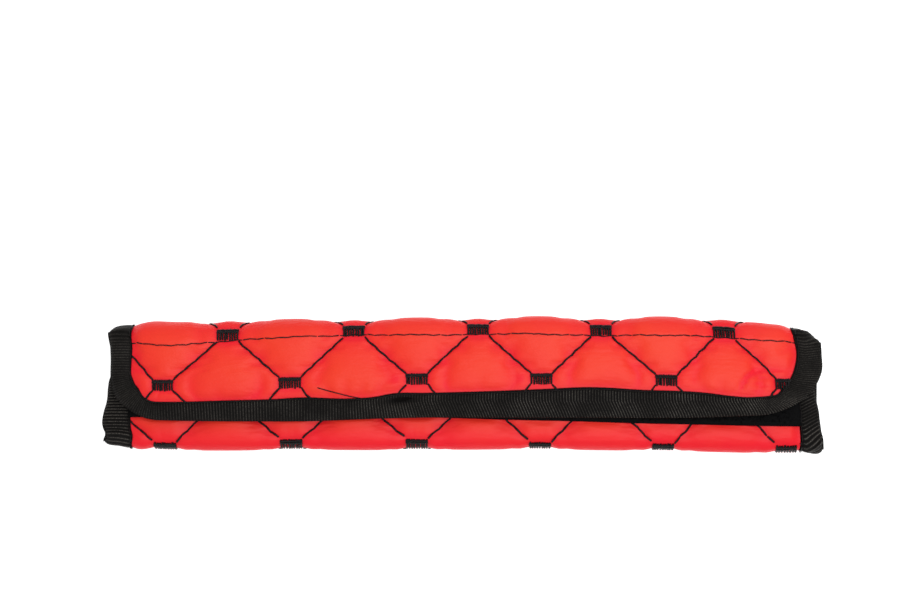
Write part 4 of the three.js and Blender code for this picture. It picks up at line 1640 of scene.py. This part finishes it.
class PAD_OT_tacks(bpy.types.Operator):
    """Makes the bar tacks from satin stitches over two laid threads"""

    bl_idname = "pad.tacks"
    bl_label = "Bar Tacks"

    def execute(self, context):
        form = pad_form()
        rng = uneven()
        names = [name for name in frame["nodes"] if name.startswith("bar_tack")]
        material = thread_material(context.scene.pad_colours)
        satin, bars = self.threads(form, rng)
        tacks = laid_threads("bar_tacks", form, satin, SATIN_THREAD, material, "thread")
        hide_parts(*names)
        laid_threads("tack_bars", form, bars, BAR_THREAD, material, "thread")
        return {"FINISHED"}

    @staticmethod
    def threads(form, rng):
        """The satin stitches and the laid bars of all tacks, clear of the binding."""
        satin, bars = [], []
        half_u, half_s = form.tack_half[0] * TACK_STRETCH, form.tack_half[1]
        t = np.linspace(0, 1, 11)
        hump = 4 * t * (1 - t)
        for row, tack_u, tack_s in form.tack_places():
            at = np.array([tack_s])
            inset = TACK_INSET if row < 2 else TACK_INSET_BELOW
            low = max(tack_u - half_u, -form.half_length_at(-1, at, TACK_INSET)[0])
            high = min(tack_u + half_u, form.half_length_at(1, at, inset)[0])
            shorter = FOLDED_TACKS_SHORTER if row == 1 else 0
            for i in range(SATIN_STITCHES):
                u = tack_u + half_u * (2 * (i + 0.5) / SATIN_STITCHES - 1) + rng.normal(0, PLACE_UNEVEN)
                if not low < u < high:
                    continue
                start = tack_s - half_s - 0.1 + shorter + rng.normal(0, START_UNEVEN)
                end = tack_s + half_s - 0.3 * shorter + rng.normal(0, END_UNEVEN)
                lean = rng.normal(0, LEAN_UNEVEN)
                share = rng.uniform(*SATIN_SHARES) * (THIN_START + (1 - THIN_START) * smooth(t / 0.6))
                height = form.pad_half + THREAD_PLAY + SATIN_HEIGHT * hump
                satin.append((u + lean * (t - 0.5), start + (end - start) * t, height, share))
            for offset in BAR_OFFSETS:
                across = tack_s + offset - 0.2 * shorter + rng.normal(0, BAR_UNEVEN, t.shape)
                height = form.pad_half + BAR_HEIGHT + BAR_HUMP * hump**0.3
                bars.append((low + (high - low) * t, across, height, 1 + 0 * t))
        return satin, bars


class PAD_OT_loose_thread(bpy.types.Operator):
    """Lays the loose end of a quilting thread on the flap"""

    bl_idname = "pad.loose_thread"
    bl_label = "Loose Thread"

    def execute(self, context):
        form, sheet = pad_form(), quilted_sheet()
        knots = np.array(LOOSE_THREAD)
        t = np.linspace(0, 1, 40)
        places = np.linspace(0, 1, len(knots))
        u, s = (np.interp(t, places, column) for column in knots.T)
        thread = (u, s, relief_at(sheet, u, s) + LOOSE_THREAD_HEIGHT, 1 + 0 * u)
        material = thread_material(context.scene.pad_colours)
        laid_threads("loose_thread", form, [thread], LOOSE_THREAD_THICKNESS, material, "thread")
        return {"FINISHED"}


class PAD_OT_stage(bpy.types.Operator):
    """Sets the floor, the lamps and the camera"""

    bl_idname = "pad.stage"
    bl_label = "Stage"

    def execute(self, context):
        view, colours = context.scene.pad_view, context.scene.pad_colours
        self.add_floor(colours)
        self.light(context, view)
        self.aim(context, view)
        context.scene.view_settings.view_transform = "Standard"
        return {"FINISHED"}

    @staticmethod
    def add_floor(colours):
        mesh = bpy.data.meshes.new("floor")
        corners = [(x * FLOOR_HALF, y * FLOOR_HALF, 0) for x, y in ((-1, -1), (1, -1), (1, 1), (-1, 1))]
        mesh.from_pydata(corners, [], [(0, 1, 2, 3)])
        floor = bpy.data.objects.new("floor", mesh)
        floor.location.z = -FLOOR_DROP
        bpy.context.collection.objects.link(floor)
        material, tree, shader = new_material("pale_floor")
        shader.inputs["Base Color"].default_value = (*colours.floor, 1)
        shader.inputs["Roughness"].default_value = 0.9
        shader.inputs["Specular IOR Level"].default_value = 0.1
        path = node(tree, "ShaderNodeLightPath")
        seen = maths(tree, "MAXIMUM", path.outputs["Is Camera Ray"], path.outputs["Is Glossy Ray"])
        seen = maths(tree, "MAXIMUM", seen, path.outputs["Is Transmission Ray"])
        shader.inputs["Emission Color"].default_value = (1, 1, 1, 1)
        tree.links.new(maths(tree, "MULTIPLY", seen, FLOOR_GLOW), shader.inputs["Emission Strength"])
        mesh.materials.append(material)

    @staticmethod
    def light(context, view):
        world = bpy.data.worlds.new("pale_room")
        world.use_nodes = True
        tree = world.node_tree
        background = tree.nodes["Background"]
        path = node(tree, "ShaderNodeLightPath")
        seen = maths(tree, "MAXIMUM", path.outputs["Is Camera Ray"], path.outputs["Is Transmission Ray"])
        background.inputs["Color"].default_value = (1, 1, 1, 1)
        strength = maths(tree, "ADD", maths(tree, "MULTIPLY", seen, ROOM_GLOW), ROOM_LIGHT)
        tree.links.new(strength, background.inputs["Strength"])
        context.scene.world = world
        for name, place, size, share in LAMPS:
            data = bpy.data.lights.new(name, "AREA")
            data.shape, data.size, data.energy = "SQUARE", size, share * view.lamp_power
            lamp = bpy.data.objects.new(name, data)
            lamp.location = place
            lamp.rotation_euler = (-Vector(place)).to_track_quat("-Z", "Y").to_euler()
            bpy.context.collection.objects.link(lamp)

    @staticmethod
    def aim(context, view):
        data = bpy.data.cameras.new("camera")
        data.sensor_width = SENSOR_WIDTH
        data.lens = SENSOR_WIDTH * view.focal_widths
        data.clip_start, data.clip_end = 0.01, 20
        camera = bpy.data.objects.new("camera", data)
        forward = Vector((0, math.cos(view.elevation), -math.sin(view.elevation)))
        upward = Vector((0, math.sin(view.elevation), math.cos(view.elevation)))
        aside = Vector((1, 0, 0))
        pad_middle = Vector((0, 0, PAD_MIDDLE_HEIGHT))
        shift = CAMERA_UP * upward - CAMERA_ASIDE * aside
        camera.location = pad_middle - view.depth * forward + shift
        camera.rotation_euler = Matrix((aside, upward, -forward)).transposed().to_euler()
        bpy.context.collection.objects.link(camera)
        context.scene.camera = camera


OPERATORS = (
    PAD_OT_cover,
    PAD_OT_lining,
    PAD_OT_binding,
    PAD_OT_strips,
    PAD_OT_stitches,
    PAD_OT_tacks,
    PAD_OT_loose_thread,
    PAD_OT_stage,
)


class PAD_PT_panel(bpy.types.Panel):
    """Lists the pad's pieces"""

    bl_idname = "PAD_PT_panel"
    bl_label = "Shoulder Pad"
    bl_space_type = "VIEW_3D"
    bl_region_type = "UI"
    bl_category = "Shoulder Pad"

    def draw(self, context):
        for operator in OPERATORS:
            self.layout.operator(operator.bl_idname)
        for group in (context.scene.pad_sizes, context.scene.pad_colours, context.scene.pad_view):
            box = self.layout.box()
            for name in group.bl_rna.properties.keys():
                if name not in {"rna_type", "name"}:
                    box.prop(group, name)


CLASSES = (PadSizes, PadColours, PadView, *OPERATORS, PAD_PT_panel)


def register():
    for item in CLASSES:
        bpy.utils.register_class(item)
    bpy.types.Scene.pad_sizes = PointerProperty(type=PadSizes)
    bpy.types.Scene.pad_colours = PointerProperty(type=PadColours)
    bpy.types.Scene.pad_view = PointerProperty(type=PadView)


def unregister():
    for name in ("pad_sizes", "pad_colours", "pad_view"):
        delattr(bpy.types.Scene, name)
    for item in reversed(CLASSES):
        bpy.utils.unregister_class(item)


def main():
    register()
    for operator in OPERATORS:
        getattr(bpy.ops.pad, operator.bl_idname.split(".")[1])()


if __name__ == "__main__":
    main()
